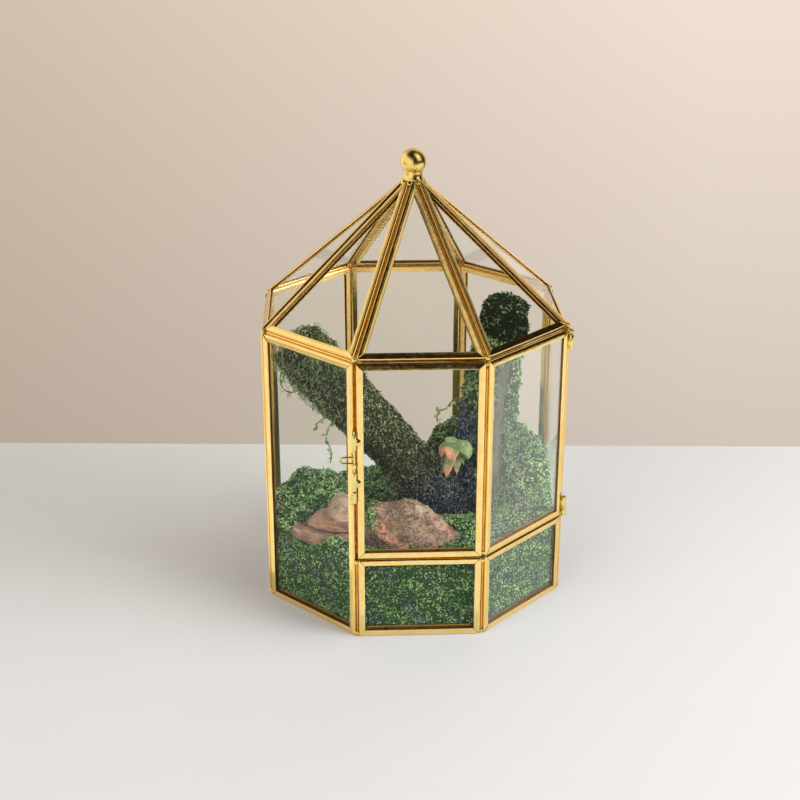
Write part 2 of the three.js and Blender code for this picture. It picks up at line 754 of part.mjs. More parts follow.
// A thin creeper: its stem along a curve, with a leaf at every step of it.
function creeper(points, leaves, seed) {
  const random = randomSource(seed);
  const curve = new THREE.CatmullRomCurve3(points.map((p) => new THREE.Vector3(...p)));
  const parts = [alongCurve(points, CREEPER_RADIUS, 5, 4 * points.length)];
  for (let i = 0; i < leaves; i++) {
    const t = (i + 1.5) / (leaves + 1);
    const { length, width, thickness } = CREEPER_LEAF;
    const leaf = new THREE.OctahedronGeometry(1);
    leaf.scale(length / 2, width / 2, thickness / 2);
    leaf.translate(length / 2 - CREEPER_RADIUS / 2, 0, 0);
    leaf.rotateY(-0.8 + 1.6 * random());
    leaf.rotateZ(2 * Math.PI * random());
    const at = curve.getPoint(t);
    leaf.translate(at.x, at.y, at.z);
    parts.push(leaf);
  }
  return fuse(parts);
}

// The succulent's plain hole in the mat, along its own stem.
function stemRod(radius) {
  return toSolid(alongCurve([SUCCULENT.root, SUCCULENT.crown], radius, 10, 2));
}

const creepers = BRANCH_CREEPERS.map(({ points, leaves }, i) => creeper(points, leaves, SEED + i));
const branchSock = sockSolid(BRANCH, BRANCH_MAT_FROM, 20, 24, MAT, branchOuter);
const branchMat = creepers
  .reduce((mat, vine) => mat.add(vine), branchSock)
  .subtract(limbSolid(TRUNK, COAT_SEAT))
  .subtract(limbSolid(BRANCH, COAT_SEAT))
  .subtract(stemRod(SUCCULENT.stem + FIT_GAP));
addMesh(plantGroup, "branch_moss", toGeometry(largestBody(branchMat)), branchMoss());

const trunkCreeper = creeper(TRUNK_CREEPER.points, TRUNK_CREEPER.leaves, SEED + 9);
const trunkMat = wrapSolid(TRUNK, TRUNK_MAT_SPAN, MOSSY_GIRTH, 19, 20, trunkOuter)
  .add(trunkCreeper)
  .subtract(limbSolid(TRUNK, COAT_SEAT))
  .subtract(limbHole(BRANCH, matDepth));
addMesh(plantGroup, "trunk_moss", toGeometry(largestBody(trunkMat)), trunkMoss());

const crownSock = sockSolid(TRUNK, CROWN_MAT_FROM, 20, 9, CROWN_MAT, crownOuter);
const crownMat = crownSock.subtract(limbSolid(TRUNK, COAT_SEAT));
addMesh(plantGroup, "crown_moss", toGeometry(largestBody(crownMat)), crownMoss());

// ---------------------------------------------------------------------------
// Stones: layered slabs with ledges on their broken sides
// ---------------------------------------------------------------------------
// The slab's outline as many points, pulled in towards its middle by scale.
function stoneRing({ outline, middle }, scale, heightAt, roughness, rough) {
  const shape = new THREE.CatmullRomCurve3(
    outline.map(([x, y]) => new THREE.Vector3(x, y, 0)),
    true,
    "catmullrom",
    0.25,
  );
  return shape.getPoints(STONE_SIDES).slice(0, STONE_SIDES).map((p) => {
    const x = middle[0] + (p.x - middle[0]) * scale;
    const y = middle[1] + (p.y - middle[1]) * scale;
    const z = heightAt(x, y);
    const push = 1 + (roughness * rough(x, y, 3 * z)) / Math.hypot(x - middle[0], y - middle[1]);
    return new THREE.Vector3(middle[0] + (x - middle[0]) * push, middle[1] + (y - middle[1]) * push, z);
  });
}

// Height of a stone's ridge line at x, smoothly from each of its points to the next.
function ridgeHeight(ridge, x) {
  const next = ridge.findIndex(([at]) => at > x);
  if (next < 0) return ridge[ridge.length - 1][1];
  if (next === 0) return ridge[0][1];
  const [[x0, z0], [x1, z1]] = [ridge[next - 1], ridge[next]];
  return z0 + (z1 - z0) * THREE.MathUtils.smoothstep(x, x0, x1);
}

// Height of the stone's top: its ridge, falling to the front, and its grain.
function stoneTop({ ridge, ridgeY, fall, grain }, rough) {
  return (x, y) => ridgeHeight(ridge, x) + fall * (y - ridgeY) + grain * rough(x, y, 0);
}

function stoneGeometry(block, seed) {
  const rough = waves(seed, 12);
  const top = stoneTop(block, rough);
  const between = (share) => (x, y) =>
    Math.max(block.low, block.low + share * (top(x, y) - block.low));
  const rings = [stoneRing(block, 0.9, () => block.low, 0, rough)];
  // Ledges: each layer is set in a little from the one under it.
  [0.3, 0.34, 0.62, 0.66, 0.9].forEach((share, i) => {
    rings.push(stoneRing(block, i % 2 ? 0.955 : 1, between(share), STONE_BREAK, rough));
  });
  for (const scale of [0.9, 0.62, 0.32]) rings.push(stoneRing(block, scale, top, 0.4, rough));
  return stackedRings(rings);
}

// A plain pocket in the moss, open upwards, that a stone lies in.
function stonePocket(block) {
  const grown = 1.04;
  const plain = () => 0;
  const low = stoneRing(block, grown, () => block.low - FIT_GAP, 0, plain);
  const high = stoneRing(block, grown, () => block.low + 60, 0, plain);
  return toSolid(stackedRings([low, high]));
}

const stones = Object.entries(STONES);
stones.forEach(([name, block], i) => {
  addMesh(plantGroup, name, stoneGeometry(block, SEED + 20 + i), stone());
});

// ---------------------------------------------------------------------------
// Moss bed: hills over a level that falls to the back, pressed to the walls
// ---------------------------------------------------------------------------
const bedWaves = waves(SEED + 3, 14);

function bedHeight(x, y) {
  const back = THREE.MathUtils.smoothstep(y, LEVEL_FALL[0], LEVEL_FALL[1]);
  let height = FRONT_LEVEL + (BACK_LEVEL - FRONT_LEVEL) * back;
  for (const hill of HILLS) {
    const away = Math.hypot(x - hill.x, y - hill.y) / hill.reach;
    height += hill.rise * Math.exp(-(away ** HILL_SHAPE));
  }
  return height + BED_RELIEF * bedWaves(x, y, 0) + BED_TUFT * tuft(x, y, 0);
}

// The surface of the bed over a square, with a skirt down to a flat floor.
function bedGeometry() {
  const half = INNER_APOTHEM + BED_CELL;
  const steps = evenly(Math.round((2 * half) / BED_CELL) + 1, -half, half);
  const grid = steps.map((y) => steps.map((x) => new THREE.Vector3(x, y, bedHeight(x, y))));
  const count = steps.length;
  const triangles = [];
  for (let i = 0; i + 1 < count; i++) {
    for (let j = 0; j + 1 < count; j++) {
      const [a, b] = [i * count + j, i * count + j + 1];
      triangles.push(a, b, b + count, a, b + count, a + count);
    }
  }
  const rim = [];
  for (let j = 0; j < count - 1; j++) rim.push(j);
  for (let i = 0; i < count - 1; i++) rim.push(i * count + count - 1);
  for (let j = count - 1; j > 0; j--) rim.push((count - 1) * count + j);
  for (let i = count - 1; i > 0; i--) rim.push(i * count);
  const points = grid.flat();
  const skirt = rim.map((at) => points.push(points[at].clone().setZ(BED_FLOOR)) - 1);
  const middle = points.push(new THREE.Vector3(0, 0, BED_FLOOR)) - 1;
  rim.forEach((a, n) => {
    const next = (n + 1) % rim.length;
    triangles.push(a, skirt[n], skirt[next], a, skirt[next], rim[next]);
    triangles.push(middle, skirt[next], skirt[n]);
  });
  return surfaceFrom(points, triangles);
}

// The room between the walls, as an eight-sided prism.
function bedRoom() {
  const radius = (INNER_APOTHEM - BED_CLEARANCE) / Math.cos(TURN / 2);
  const corners = FACE_NAMES.map((_, k) => {
    const angle = faceAngle(k) - TURN / 2;
    return new THREE.Vector2(radius * Math.cos(angle), radius * Math.sin(angle));
  });
  const prism = new THREE.ExtrudeGeometry(new THREE.Shape(corners), {
    depth: WALL_HEIGHT,
    bevelEnabled: false,
  });
  return toSolid(prism);
}

let bed = toSolid(bedGeometry()).intersect(bedRoom());
bed = bed.subtract(limbHole(TRUNK, matDepth + MAT_SWELL));
bed = bed.subtract(limbHole(BRANCH, matDepth));
for (const [, block] of stones) bed = bed.subtract(stonePocket(block));
addMesh(plantGroup, "moss_bed", toGeometry(largestBody(bed)), floorMoss());

// ---------------------------------------------------------------------------
// Succulent: thick drooping leaves, keeled below and hollowed above
// ---------------------------------------------------------------------------
// One leaf: yaw is where it points, lift how steeply it starts, droop how far
// it bends down on its way.
function leafGeometry({ yaw, lift, droop, length, width, depth }) {
  const crown = new THREE.Vector3(...SUCCULENT.crown);
  const level = new THREE.Vector3(Math.cos(yaw), Math.sin(yaw), 0);
  const across = new THREE.Vector3(-Math.sin(yaw), Math.cos(yaw), 0);
  const up = new THREE.Vector3(0, 0, 1);
  const rings = [];
  const middle = crown.clone().addScaledVector(level, 0.4);
  const steps = 8;
  for (let i = 0; i <= steps; i++) {
    const t = i / steps;
    const pitch = lift - droop * t;
    const along = level.clone().multiplyScalar(Math.cos(pitch)).addScaledVector(up, Math.sin(pitch));
    const over = up.clone().multiplyScalar(Math.cos(pitch)).addScaledVector(level, -Math.sin(pitch));
    if (i > 0) middle.addScaledVector(along, length / steps);
    const swell = Math.sin(Math.PI * Math.min(1, 0.16 + 0.86 * t ** 0.8)) ** 0.75;
    const half = Math.max(0.35, (width / 2) * swell);
    const thick = Math.max(0.35, (depth / 2) * swell ** 0.8);
    rings.push(
      wholeTurn(LEAF_SIDES).map((angle) => {
        const [c, s] = [Math.cos(angle), Math.sin(angle)];
        const keel = s < 0 ? -1.2 * s * s : 0.55 * s;
        return middle.clone().addScaledVector(across, half * c).addScaledVector(over, thick * keel);
      }),
    );
  }
  return stackedRings(rings);
}

const succulent = SUCCULENT.leaves
  .map((leaf) => toSolid(leafGeometry(leaf)))
  .reduce((plant, leaf) => plant.add(leaf), stemRod(SUCCULENT.stem))
  .subtract(limbSolid(BRANCH, COAT_SEAT))
  .subtract(limbSolid(TRUNK, COAT_SEAT));
addMesh(plantGroup, "succulent", toGeometry(largestBody(succulent)), succulentLeaf());

export default terrarium;
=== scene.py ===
import bpy
import numpy as np
from mathutils import Matrix


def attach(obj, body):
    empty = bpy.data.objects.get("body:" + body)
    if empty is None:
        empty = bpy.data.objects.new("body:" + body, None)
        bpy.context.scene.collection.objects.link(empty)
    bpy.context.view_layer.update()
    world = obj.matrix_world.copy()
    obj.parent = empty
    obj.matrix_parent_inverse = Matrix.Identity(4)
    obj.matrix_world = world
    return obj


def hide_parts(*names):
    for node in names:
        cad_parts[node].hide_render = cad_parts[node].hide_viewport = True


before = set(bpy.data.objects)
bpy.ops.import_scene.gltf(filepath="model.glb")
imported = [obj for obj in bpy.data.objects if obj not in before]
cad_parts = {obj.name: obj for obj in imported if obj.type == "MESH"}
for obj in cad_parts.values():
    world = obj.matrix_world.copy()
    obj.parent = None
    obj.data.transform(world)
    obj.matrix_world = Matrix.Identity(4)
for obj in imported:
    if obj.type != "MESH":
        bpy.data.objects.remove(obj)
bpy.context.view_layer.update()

# ---------------------------------------------------------------------------
# Brass cames. Each pane of the case and the door is held in a U-shaped came,
# folded from thin brass sheet, mitred at the pane's corners and polished.
# ---------------------------------------------------------------------------
MM = 0.001  # lengths in this file are millimetres, and Blender's are metres
SIDE_LENGTH = 98.0
TURN = np.pi / 4
CAME_DEPTH = 4.0
CAME_FACE = 5.0
CAME_SHEET = 0.7
CAME_WEB = 0.9
CAME_ROUND = 1.25
CAME_CROWN = 0.24  # the outer flange swells by this much in its middle
LIP_ROUND = 0.15
MITRE_GAP = 0.16  # half the slit between two sides at a mitre
MITRE_BEVEL = 0.25
TALL_LIP = 7.4  # the inner flange stands higher along the bottom of a pane
DOOR_LIP = 6.6
# Painted shade and reflection on the cames, as a share from 0 to 1: the inner flange, seen behind the
# glass, and the sheet's inner faces are painted brown as shade, most along the tall lips at the bottom,
# and the web in the groove is painted orange as the reflection of light bouncing between the folds.
LIP_PAINTED_SHADE = {TALL_LIP: 0.64, DOOR_LIP: 0.5, CAME_FACE: 0.08}
WEB_PAINTED_REFLECTION = 0.66
INSIDE_PAINTED_SHADE = 0.75
EAVE_LEAN = 1.1  # the outer flange leans back by this much along the eave
RIB_TWIST = 0.8  # the same, along the right side of the front roof pane
CAME_CREASE = 30
SMOOTH = 180  # the crease angle of a piece without a sharp edge
PANE_GAP = 0.3
DOOR_GAP = 0.5
WALL_HEIGHT = 228.3
ROOF_RISE = 110.9
APEX_HEIGHT = WALL_HEIGHT + ROOF_RISE
SILL_HEIGHT = 67.3
APOTHEM = SIDE_LENGTH / (2 * np.tan(TURN / 2))
INNER_APOTHEM = APOTHEM - CAME_DEPTH
INNER_SIDE = 2 * INNER_APOTHEM * np.tan(TURN / 2)
ROOF_PITCH = np.arctan2(ROOF_RISE, APOTHEM)
INNER_EAVE = WALL_HEIGHT + CAME_DEPTH * np.tan(ROOF_PITCH) - CAME_DEPTH / np.cos(ROOF_PITCH)
FACES = ["front", "front_right", "right", "back_right", "back", "back_left", "left", "front_left"]
DOOR_FACES = ["front", "front_right"]


def grid_faces(rows, columns, closed=True, start=0):
    """Quads of a grid whose point (i, j) is number start + i * columns + j. A
    closed grid joins the last column to the first."""
    i, j = np.meshgrid(np.arange(rows - 1), np.arange(columns - (not closed)), indexing="ij")
    k = (j + 1) % columns
    quads = [i * columns + j, i * columns + k, (i + 1) * columns + k, (i + 1) * columns + j]
    return start + np.stack(quads).reshape(4, -1).T


def unit(ways):
    """Vectors scaled to length 1, along the last axis."""
    return ways / np.maximum(np.linalg.norm(ways, axis=-1, keepdims=True), 1e-9)


def new_piece(name, points, faces, body, finish, slot, stands_for=(), values=None, crease=40):
    """One mesh piece from an (n, 3) array of points in millimetres and a list of
    (m, 3) or (m, 4) arrays of corner numbers. values holds one number a point
    under each attribute's name, and crease is the angle of a sharp edge."""
    corners = np.concatenate([f.ravel() for f in faces]).astype(np.int32)
    sizes = np.concatenate([np.full(len(f), f.shape[1]) for f in faces])
    mesh = bpy.data.meshes.new(name)
    mesh.vertices.add(len(points))
    mesh.vertices.foreach_set("co", (points * MM).astype(np.float32).ravel())
    mesh.loops.add(len(corners))
    mesh.loops.foreach_set("vertex_index", corners)
    mesh.polygons.add(len(sizes))
    mesh.polygons.foreach_set("loop_start", (np.cumsum(sizes) - sizes).astype(np.int32))
    mesh.polygons.foreach_set("use_smooth", np.ones(len(sizes), bool))
    for label, numbers in (values or {}).items():
        attribute = mesh.attributes.new(label, "FLOAT", "POINT")
        attribute.data.foreach_set("value", numbers.astype(np.float32).ravel())
    mesh.update(calc_edges=True)
    mesh.validate()
    if crease < SMOOTH:
        mesh.set_sharp_from_angle(angle=np.radians(crease))
    mesh.materials.append(finish)
    piece = bpy.data.objects.new(name, mesh)
    bpy.context.scene.collection.objects.link(piece)
    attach(piece, body)
    if stands_for:
        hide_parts(*stands_for)


def add_node(tree, kind, inputs=None, **settings):
    """A shader node with its settings, and each named or numbered input linked to
    a socket or set to a value."""
    made = tree.nodes.new("ShaderNode" + kind)
    for key, value in settings.items():
        setattr(made, key, value)
    for key, value in (inputs or {}).items():
        if isinstance(value, bpy.types.NodeSocket):
            tree.links.new(value, made.inputs[key])
        else:
            made.inputs[key].default_value = value
    return made


def math_node(tree, operation, a, b=0.0):
    """The result of one arithmetic operation on two numbers or sockets."""
    return add_node(tree, "Math", {0: a, 1: b}, operation=operation).outputs[0]


def product(tree, first, *factors):
    """The product of numbers and sockets."""
    for factor in factors:
        first = math_node(tree, "MULTIPLY", first, factor)
    return first


def mix_colors(tree, factor, a, b):
    """A colour between a and b."""
    made = add_node(tree, "Mix", {0: factor, 6: a, 7: b}, data_type="RGBA")
    return made.outputs[2]


def noise_node(tree, place, scale, detail=3.0, rough=0.6):
    """Noise of about 0 to 1 with scale patches a metre."""
    inputs = {"Vector": place, "Scale": scale, "Detail": detail, "Roughness": rough}
    return add_node(tree, "TexNoise", inputs).outputs[0]


def map_node(tree, value, low, high, to_low=0.0, to_high=1.0):
    """A number moved from the range low to high to the other range, and held there."""
    inputs = {0: value, 1: low, 2: high, 3: to_low, 4: to_high}
    return add_node(tree, "MapRange", inputs).outputs[0]


OUTPUT_KINDS = {"Color": "Color", "Roughness": "Float", "Normal": "Vector"}


def new_group(name, inputs=(), outputs=("Color", "Roughness", "Normal")):
    """An empty node group with float inputs. Returns it, the sockets of the place
    on the object and of its inputs by name, and its output node."""
    group = bpy.data.node_groups.new(name, "ShaderNodeTree")
    for label in inputs:
        group.interface.new_socket(label, in_out="INPUT", socket_type="NodeSocketFloat")
    for label in outputs:
        kind = "NodeSocket" + OUTPUT_KINDS[label]
        group.interface.new_socket(label, in_out="OUTPUT", socket_type=kind)
    place = add_node(group, "TexCoord").outputs["Object"]
    given = group.nodes.new("NodeGroupInput").outputs
    return group, place, given, group.nodes.new("NodeGroupOutput")


def close_group(group, end, color, rough, height, strength, depth):
    """Links a group's colour and roughness to its outputs, and a bump of a height."""
    bump = add_node(group, "Bump", {"Strength": strength, "Distance": depth, "Height": height})
    group.links.new(color, end.inputs["Color"])
    group.links.new(rough, end.inputs["Roughness"])
    group.links.new(bump.outputs[0], end.inputs["Normal"])


def new_material(name):
    """A material with its Principled shader and its node tree."""
    finish = bpy.data.materials.new(name)
    finish.use_nodes = True
    tree = finish.node_tree
    return finish, tree, tree.nodes["Principled BSDF"]


def new_surface(name, group, values=None, settings=None):
    """A material whose shader takes the outputs of a node group. values gives the
    group's inputs, as numbers or as names of the mesh's attributes, and settings
    gives what is the same all over, on the shader's own sockets."""
    finish, tree, shader = new_material(name)
    for label, value in (settings or {}).items():
        shader.inputs[label].default_value = value
    made = add_node(tree, "Group")
    made.node_tree = group
    for label, source in (values or {}).items():
        if isinstance(source, str):
            source = add_node(tree, "Attribute", attribute_name=source).outputs["Fac"]
            tree.links.new(source, made.inputs[label])
        else:
            made.inputs[label].default_value = source
    for output in made.outputs:
        target = "Base Color" if output.name == "Color" else output.name
        tree.links.new(output, shader.inputs[target])
    return finish


def brass_group():
    """Brass: patches of warmer and paler metal with faint stains and fingermarks. Its
    bump is the slight waves of polishing, scaled by Waves, and the fine lines that
    the rolls leave along the sheet, by Across, the place over its width. PatinaAndShade
    turns it orange up to a half and then dull brown: on the cames the orange is painted
    reflection in the groove and the brown is painted shade behind the glass. Lemon turns
    it greenish yellow, and Satin adds to its roughness."""
    inputs = ["PatinaAndShade", "Lemon", "Satin", "Waves", "Across"]
    group, place, given, end = new_group("brass_detail", inputs)
    patches = map_node(group, noise_node(group, place, 70, 4), 0.35, 0.7)
    metal = mix_colors(group, patches, (0.97, 0.745, 0.315, 1), (0.95, 0.655, 0.215, 1))
    metal = mix_colors(group, given["Lemon"], metal, (0.78, 0.66, 0.22, 1))
    stains = map_node(group, noise_node(group, place, 240, 5, 0.7), 0.56, 0.78, 0.0, 0.25)
    metal = mix_colors(group, stains, metal, (0.55, 0.30, 0.07, 1))
    orange = map_node(group, given["PatinaAndShade"], 0.0, 0.5)
    metal = mix_colors(group, orange, metal, (0.97, 0.58, 0.12, 1))
    brown = map_node(group, given["PatinaAndShade"], 0.5, 1.0)
    metal = mix_colors(group, brown, metal, (0.20, 0.085, 0.015, 1))
    marks = map_node(group, noise_node(group, place, 160, 4), 0.3, 0.75, 0.10, 0.22)
    rough = math_node(group, "ADD", marks, product(group, brown, 0.3))
    rough = math_node(group, "ADD", rough, given["Satin"])
    polish = product(group, noise_node(group, place, 120, 2), given["Waves"])
    rolled_inputs = {"W": given["Across"], "Scale": 1.3, "Detail": 2.0}
    rolled = add_node(group, "TexNoise", rolled_inputs, noise_dimensions="1D").outputs[0]
    height = math_node(group, "ADD", polish, product(group, rolled, 0.3))
    close_group(group, end, metal, rough, height, 0.22, 0.001)
    return group


METAL = {"Metallic": 1.0}
brass_detail = brass_group()
came_values = {"PatinaAndShade": "patina", "Lemon": 0.0, "Satin": 0.0, "Waves": 1.0, "Across": "across"}
came_brass = new_surface("brass_came", brass_detail, came_values, METAL)


def came_section(lip, lean):
    """The folded sheet as two lines of points, outside and inside, each (inset
    from the pane's edge, height over its inner face). The sheet runs from the
    inner flange's lip round two quarter circles to the outer flange's lip. The
    outer flange is raised by crown (1 - x^2) and leans back by lean (1 - u / face)."""
    turn = np.linspace(0, np.pi / 2, 5)
    r = CAME_ROUND
    low = np.stack([np.linspace(lip, r + 0.4, 4), np.zeros(4)], 1)
    low_fold = np.stack([r - r * np.sin(turn), r - r * np.cos(turn)], 1)
    high_fold = np.stack([r - r * np.cos(turn), CAME_DEPTH - r + r * np.sin(turn)], 1)
    high = np.stack([np.linspace(r + 0.4, CAME_FACE, 7), np.full(7, CAME_DEPTH)], 1)
    outside = np.concatenate([low, low_fold, high_fold, high])
    inside = outside.copy()
    inside[:, 0] = np.maximum(outside[:, 0], CAME_WEB)
    inside[:, 1] = np.clip(outside[:, 1], CAME_SHEET, CAME_DEPTH - CAME_SHEET)
    for line in (outside, inside):
        upper = line[:, 1] > CAME_DEPTH / 2
        x = (line[:, 0] - CAME_FACE / 2) / (CAME_FACE / 2)
        line[:, 1] += upper * (CAME_CROWN * (1 - x**2) - lean * (1 - line[:, 0] / CAME_FACE))
    lips = [(outside[[i]] + inside[[i]]) / 2 + [LIP_ROUND, 0.0] for i in (0, -1)]

    def with_lips(line):
        rounded = [0.4 * line[[i]] + 0.6 * lips[i] for i in (0, -1)]
        return np.concatenate([rounded[0], line, rounded[1]])

    return with_lips(outside), with_lips(inside)


def mitres(outline):
    """For each corner of an outline that runs anticlockwise: how far it moves for
    each millimetre that both its sides move inwards."""
    arriving = unit(outline - np.roll(outline, 1, axis=0))
    inward = np.stack([-arriving[:, 1], arriving[:, 0]], 1)
    following = np.roll(inward, -1, axis=0)
    return (inward + following) / (1 + (inward * following).sum(1, keepdims=True))


def came_side(start, end, start_mitre, end_mitre, lip, lean, rng):
    """One straight side of a came. The section's point (u, v) runs between the
    two mitre lines start + u start_mitre and end + u end_mitre, at height v, with
    bevelled ends and a slight wave, the sum of two sines along the side."""
    outside, inside = came_section(lip, lean)
    count = len(outside)
    loop = np.concatenate([outside, inside[::-1]])
    shrunk = np.concatenate([0.7 * outside + 0.3 * inside, (0.7 * inside + 0.3 * outside)[::-1]])
    length = np.linalg.norm(end - start)
    inward = np.array([start[1] - end[1], end[0] - start[0]]) / length
    middle = np.linspace(0, 1, max(4, int(length / 8)))[1:-1]
    bevel = MITRE_BEVEL / length
    share = np.concatenate([[0, bevel], middle, [1 - bevel, 1]])
    at_end = ((share == 0) | (share == 1))[:, None, None]
    section = np.where(at_end, shrunk[None], loop[None])
    u, v = section[..., 0], section[..., 1]
    a = start + u[..., None] * start_mitre
    b = end + u[..., None] * end_mitre
    run = np.linalg.norm(b - a, axis=-1)
    s = (MITRE_GAP + (run - 2 * MITRE_GAP) * share[:, None]) / run
    flat = a + (b - a) * s[..., None]
    along = share[:, None] * length
    phase = rng.uniform(0, 2 * np.pi, 3)
    outer_half = v > CAME_DEPTH / 2
    wave = 0.05 * np.sin(along / 7.0 + phase[0]) + 0.07 * np.sin(along / 15.0 + phase[1])
    drift = 0.04 * (1 + np.sin(along / 11.0 + phase[2])) * outer_half
    flat = flat + drift[..., None] * inward
    points = np.concatenate([flat, (v + wave * outer_half)[..., None]], -1)
    k = np.arange(count - 1)
    cap = np.stack([k, k + 1, 2 * count - 2 - k, 2 * count - 1 - k], 1)
    last = (len(share) - 1) * 2 * count
    faces = [grid_faces(len(share), 2 * count)[:, ::-1], cap, last + cap[:, ::-1]]
    # The web gets the painted reflection, and the inner flange and the inner faces the painted shade.
    web = WEB_PAINTED_REFLECTION * np.clip(1 - outside[:, 0] / 0.7, 0, 1)
    dull = np.where(outside[:, 1] < 0.5, LIP_PAINTED_SHADE[lip], web)
    dull = np.append(dull, np.full(count, INSIDE_PAINTED_SHADE))
    patina = np.broadcast_to(dull, u.shape)
    steps = np.linalg.norm(np.diff(loop, axis=0), axis=1)
    across = np.broadcast_to(np.append(0, np.cumsum(steps)) + rng.uniform(0, 900), u.shape)
    return points.reshape(-1, 3), faces, patina.ravel(), across.ravel()


def came_frame(name, outline, lips, leans, axes, origin, body, seed):
    """All sides of one pane's came, each a closed strip, set in the room by the
    pane's own axes: along, up and outwards."""
    rng = np.random.default_rng(seed)
    corner_mitres = mitres(outline)
    points, faces, patina, across, count = [], [], [], [], 0
    for i in range(len(outline)):
        j = (i + 1) % len(outline)
        ends = (outline[i], outline[j], corner_mitres[i], corner_mitres[j])
        side = came_side(*ends, lips[i], leans[i], rng)
        points.append(side[0])
        faces += [f + count for f in side[1]]
        patina.append(side[2])
        across.append(side[3])
        count += len(side[0])
    placed = np.concatenate(points) @ axes + origin
    values = {"patina": np.concatenate(patina), "across": np.concatenate(across)}
    new_piece(
        name + "_frame", placed, faces, body, came_brass, "brass", [name + "_came"], values,
        CAME_CREASE,
    )


def face_axes(k, pitch=0.0):
    """Axes of a pane on face k as rows: along it, up it and outwards, leaning back
    from upright by a quarter turn less pitch when pitch is given."""
    angle = -np.pi / 2 + k * TURN
    level = np.array([np.cos(angle), np.sin(angle), 0.0])
    up = np.array([0.0, 0.0, 1.0])
    along = np.cross(up, level)
    outward = level if pitch == 0 else level * np.sin(pitch) + up * np.cos(pitch)
    return np.stack([along, np.cross(outward, along), outward]), level


def upright_outline(low, high):
    """The four corners of a wall, sill or door pane."""
    half = (INNER_SIDE - PANE_GAP) / 2
    return np.array([[-half, low], [half, low], [half, high], [-half, high]])


def roof_outline():
    """The three corners of a roof pane, PANE_GAP / 2 inside the whole triangle."""
    slant = INNER_APOTHEM / np.cos(ROOF_PITCH)
    whole = np.array([[-INNER_SIDE / 2, 0.0], [INNER_SIDE / 2, 0.0], [0.0, slant]])
    return whole + mitres(whole) * PANE_GAP / 2


WALL_TOP = INNER_EAVE - PANE_GAP / 2
for k, face in enumerate(FACES):
    axes, level = face_axes(k)
    origin = level * INNER_APOTHEM
    bottom_up = [TALL_LIP, CAME_FACE, CAME_FACE, CAME_FACE]
    if face in DOOR_FACES:
        sill = upright_outline(0.0, SILL_HEIGHT - DOOR_GAP / 2)
        leaf = upright_outline(SILL_HEIGHT + DOOR_GAP / 2, WALL_TOP - DOOR_GAP / 2)
        door_up = [DOOR_LIP, CAME_FACE, CAME_FACE, CAME_FACE]
        came_frame("sill_" + face, sill, bottom_up, [0, 0, 0.3, 0], axes, origin, "case", 100 + k)
        came_frame("door_" + face, leaf, door_up, [0, 0, EAVE_LEAN, 0], axes, origin, "door", 200 + k)
    else:
        wall = upright_outline(0.0, WALL_TOP)
        came_frame("wall_" + face, wall, bottom_up, [0, 0, EAVE_LEAN, 0], axes, origin, "case", 300 + k)
    axes, level = face_axes(k, ROOF_PITCH)
    origin = level * INNER_APOTHEM + [0, 0, INNER_EAVE]
    roof_lips = [CAME_FACE, CAME_FACE, CAME_FACE]
    roof_leans = [EAVE_LEAN, RIB_TWIST if face == "front" else 0, 0]
    came_frame("roof_" + face, roof_outline(), roof_lips, roof_leans, axes, origin, "case", 400 + k)

# The floor's came lies flat, glass up.
corner_angles = -np.pi / 2 + (np.arange(8) - 0.5) * TURN
floor_radius = (INNER_APOTHEM - PANE_GAP) / np.cos(TURN / 2)
floor_outline = floor_radius * np.stack([np.cos(corner_angles), np.sin(corner_angles)], 1)
came_frame("floor", floor_outline, [CAME_FACE] * 8, [0] * 8, np.eye(3), np.zeros(3), "case", 500)

# ---------------------------------------------------------------------------
# Glass panes. Clear float glass, 2 mm thick, cut to slide into the cames. The
# packed panes are right as they are and only get their glass.
# ---------------------------------------------------------------------------


def glass_group():
    """Faint smears on glass: a little roughness where water has dried, and specks of
    dust."""
    group, place, _, end = new_group("glass_detail", (), ("Roughness", "Color"))
    smears = map_node(group, noise_node(group, place, 25, 5, 0.7), 0.5, 0.8)
    specks = map_node(group, noise_node(group, place, 420, 2), 0.66, 0.8)
    group.links.new(product(group, smears, 0.03), end.inputs["Roughness"])
    color = mix_colors(group, product(group, specks, 0.25), (0.975, 0.99, 0.97, 1), (0.8, 0.8, 0.75, 1))
    group.links.new(color, end.inputs["Color"])
    return group


def glass_material(name, clear, ior):
    """Glass that lets light through to the plants: clear is the share of light that
    passes it, and the rest is a pale diffuse film, which where clear is well below 1
    is a painted reflection. Lamps' light goes straight through."""
    settings = {"Transmission Weight": clear, "IOR": ior}
    finish = new_surface(name, glass_detail, None, settings)
    tree = finish.node_tree
    lamp = add_node(tree, "LightPath").outputs["Is Shadow Ray"]
    clear_way = add_node(tree, "BsdfTransparent", {"Color": (0.96, 0.98, 0.96, 1)})
    shader = tree.nodes["Principled BSDF"]
    both = add_node(tree, "MixShader", {0: lamp, 1: shader.outputs[0], 2: clear_way.outputs[0]})
    tree.links.new(both.outputs[0], tree.nodes["Material Output"].inputs[0])
    return finish


glass_detail = glass_group()
roof_glass = glass_material("glass_roof", 1.0, 1.16)
clear_glass = glass_material("glass_clear", 0.9985, 1.16)
# The two front right panes carry a pale diffuse film, a painted reflection of the bright room on their
# right: the door's strong, the sill's faint.
painted_reflection_glass = glass_material("glass_painted_reflection", 0.972, 1.25)
faint_reflection_glass = glass_material("glass_faint_painted_reflection", 0.982, 1.2)
PAINTED_REFLECTION_PANES = {"door_front_right_glass": painted_reflection_glass, "sill_front_right_glass": faint_reflection_glass}
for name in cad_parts:
    if name.endswith("_glass"):
        node_object = bpy.data.objects[name]
        plain = roof_glass if name.startswith("roof") else clear_glass
        finish = PAINTED_REFLECTION_PANES.get(name, plain)
        for material_slot in node_object.material_slots:
            material_slot.material = finish

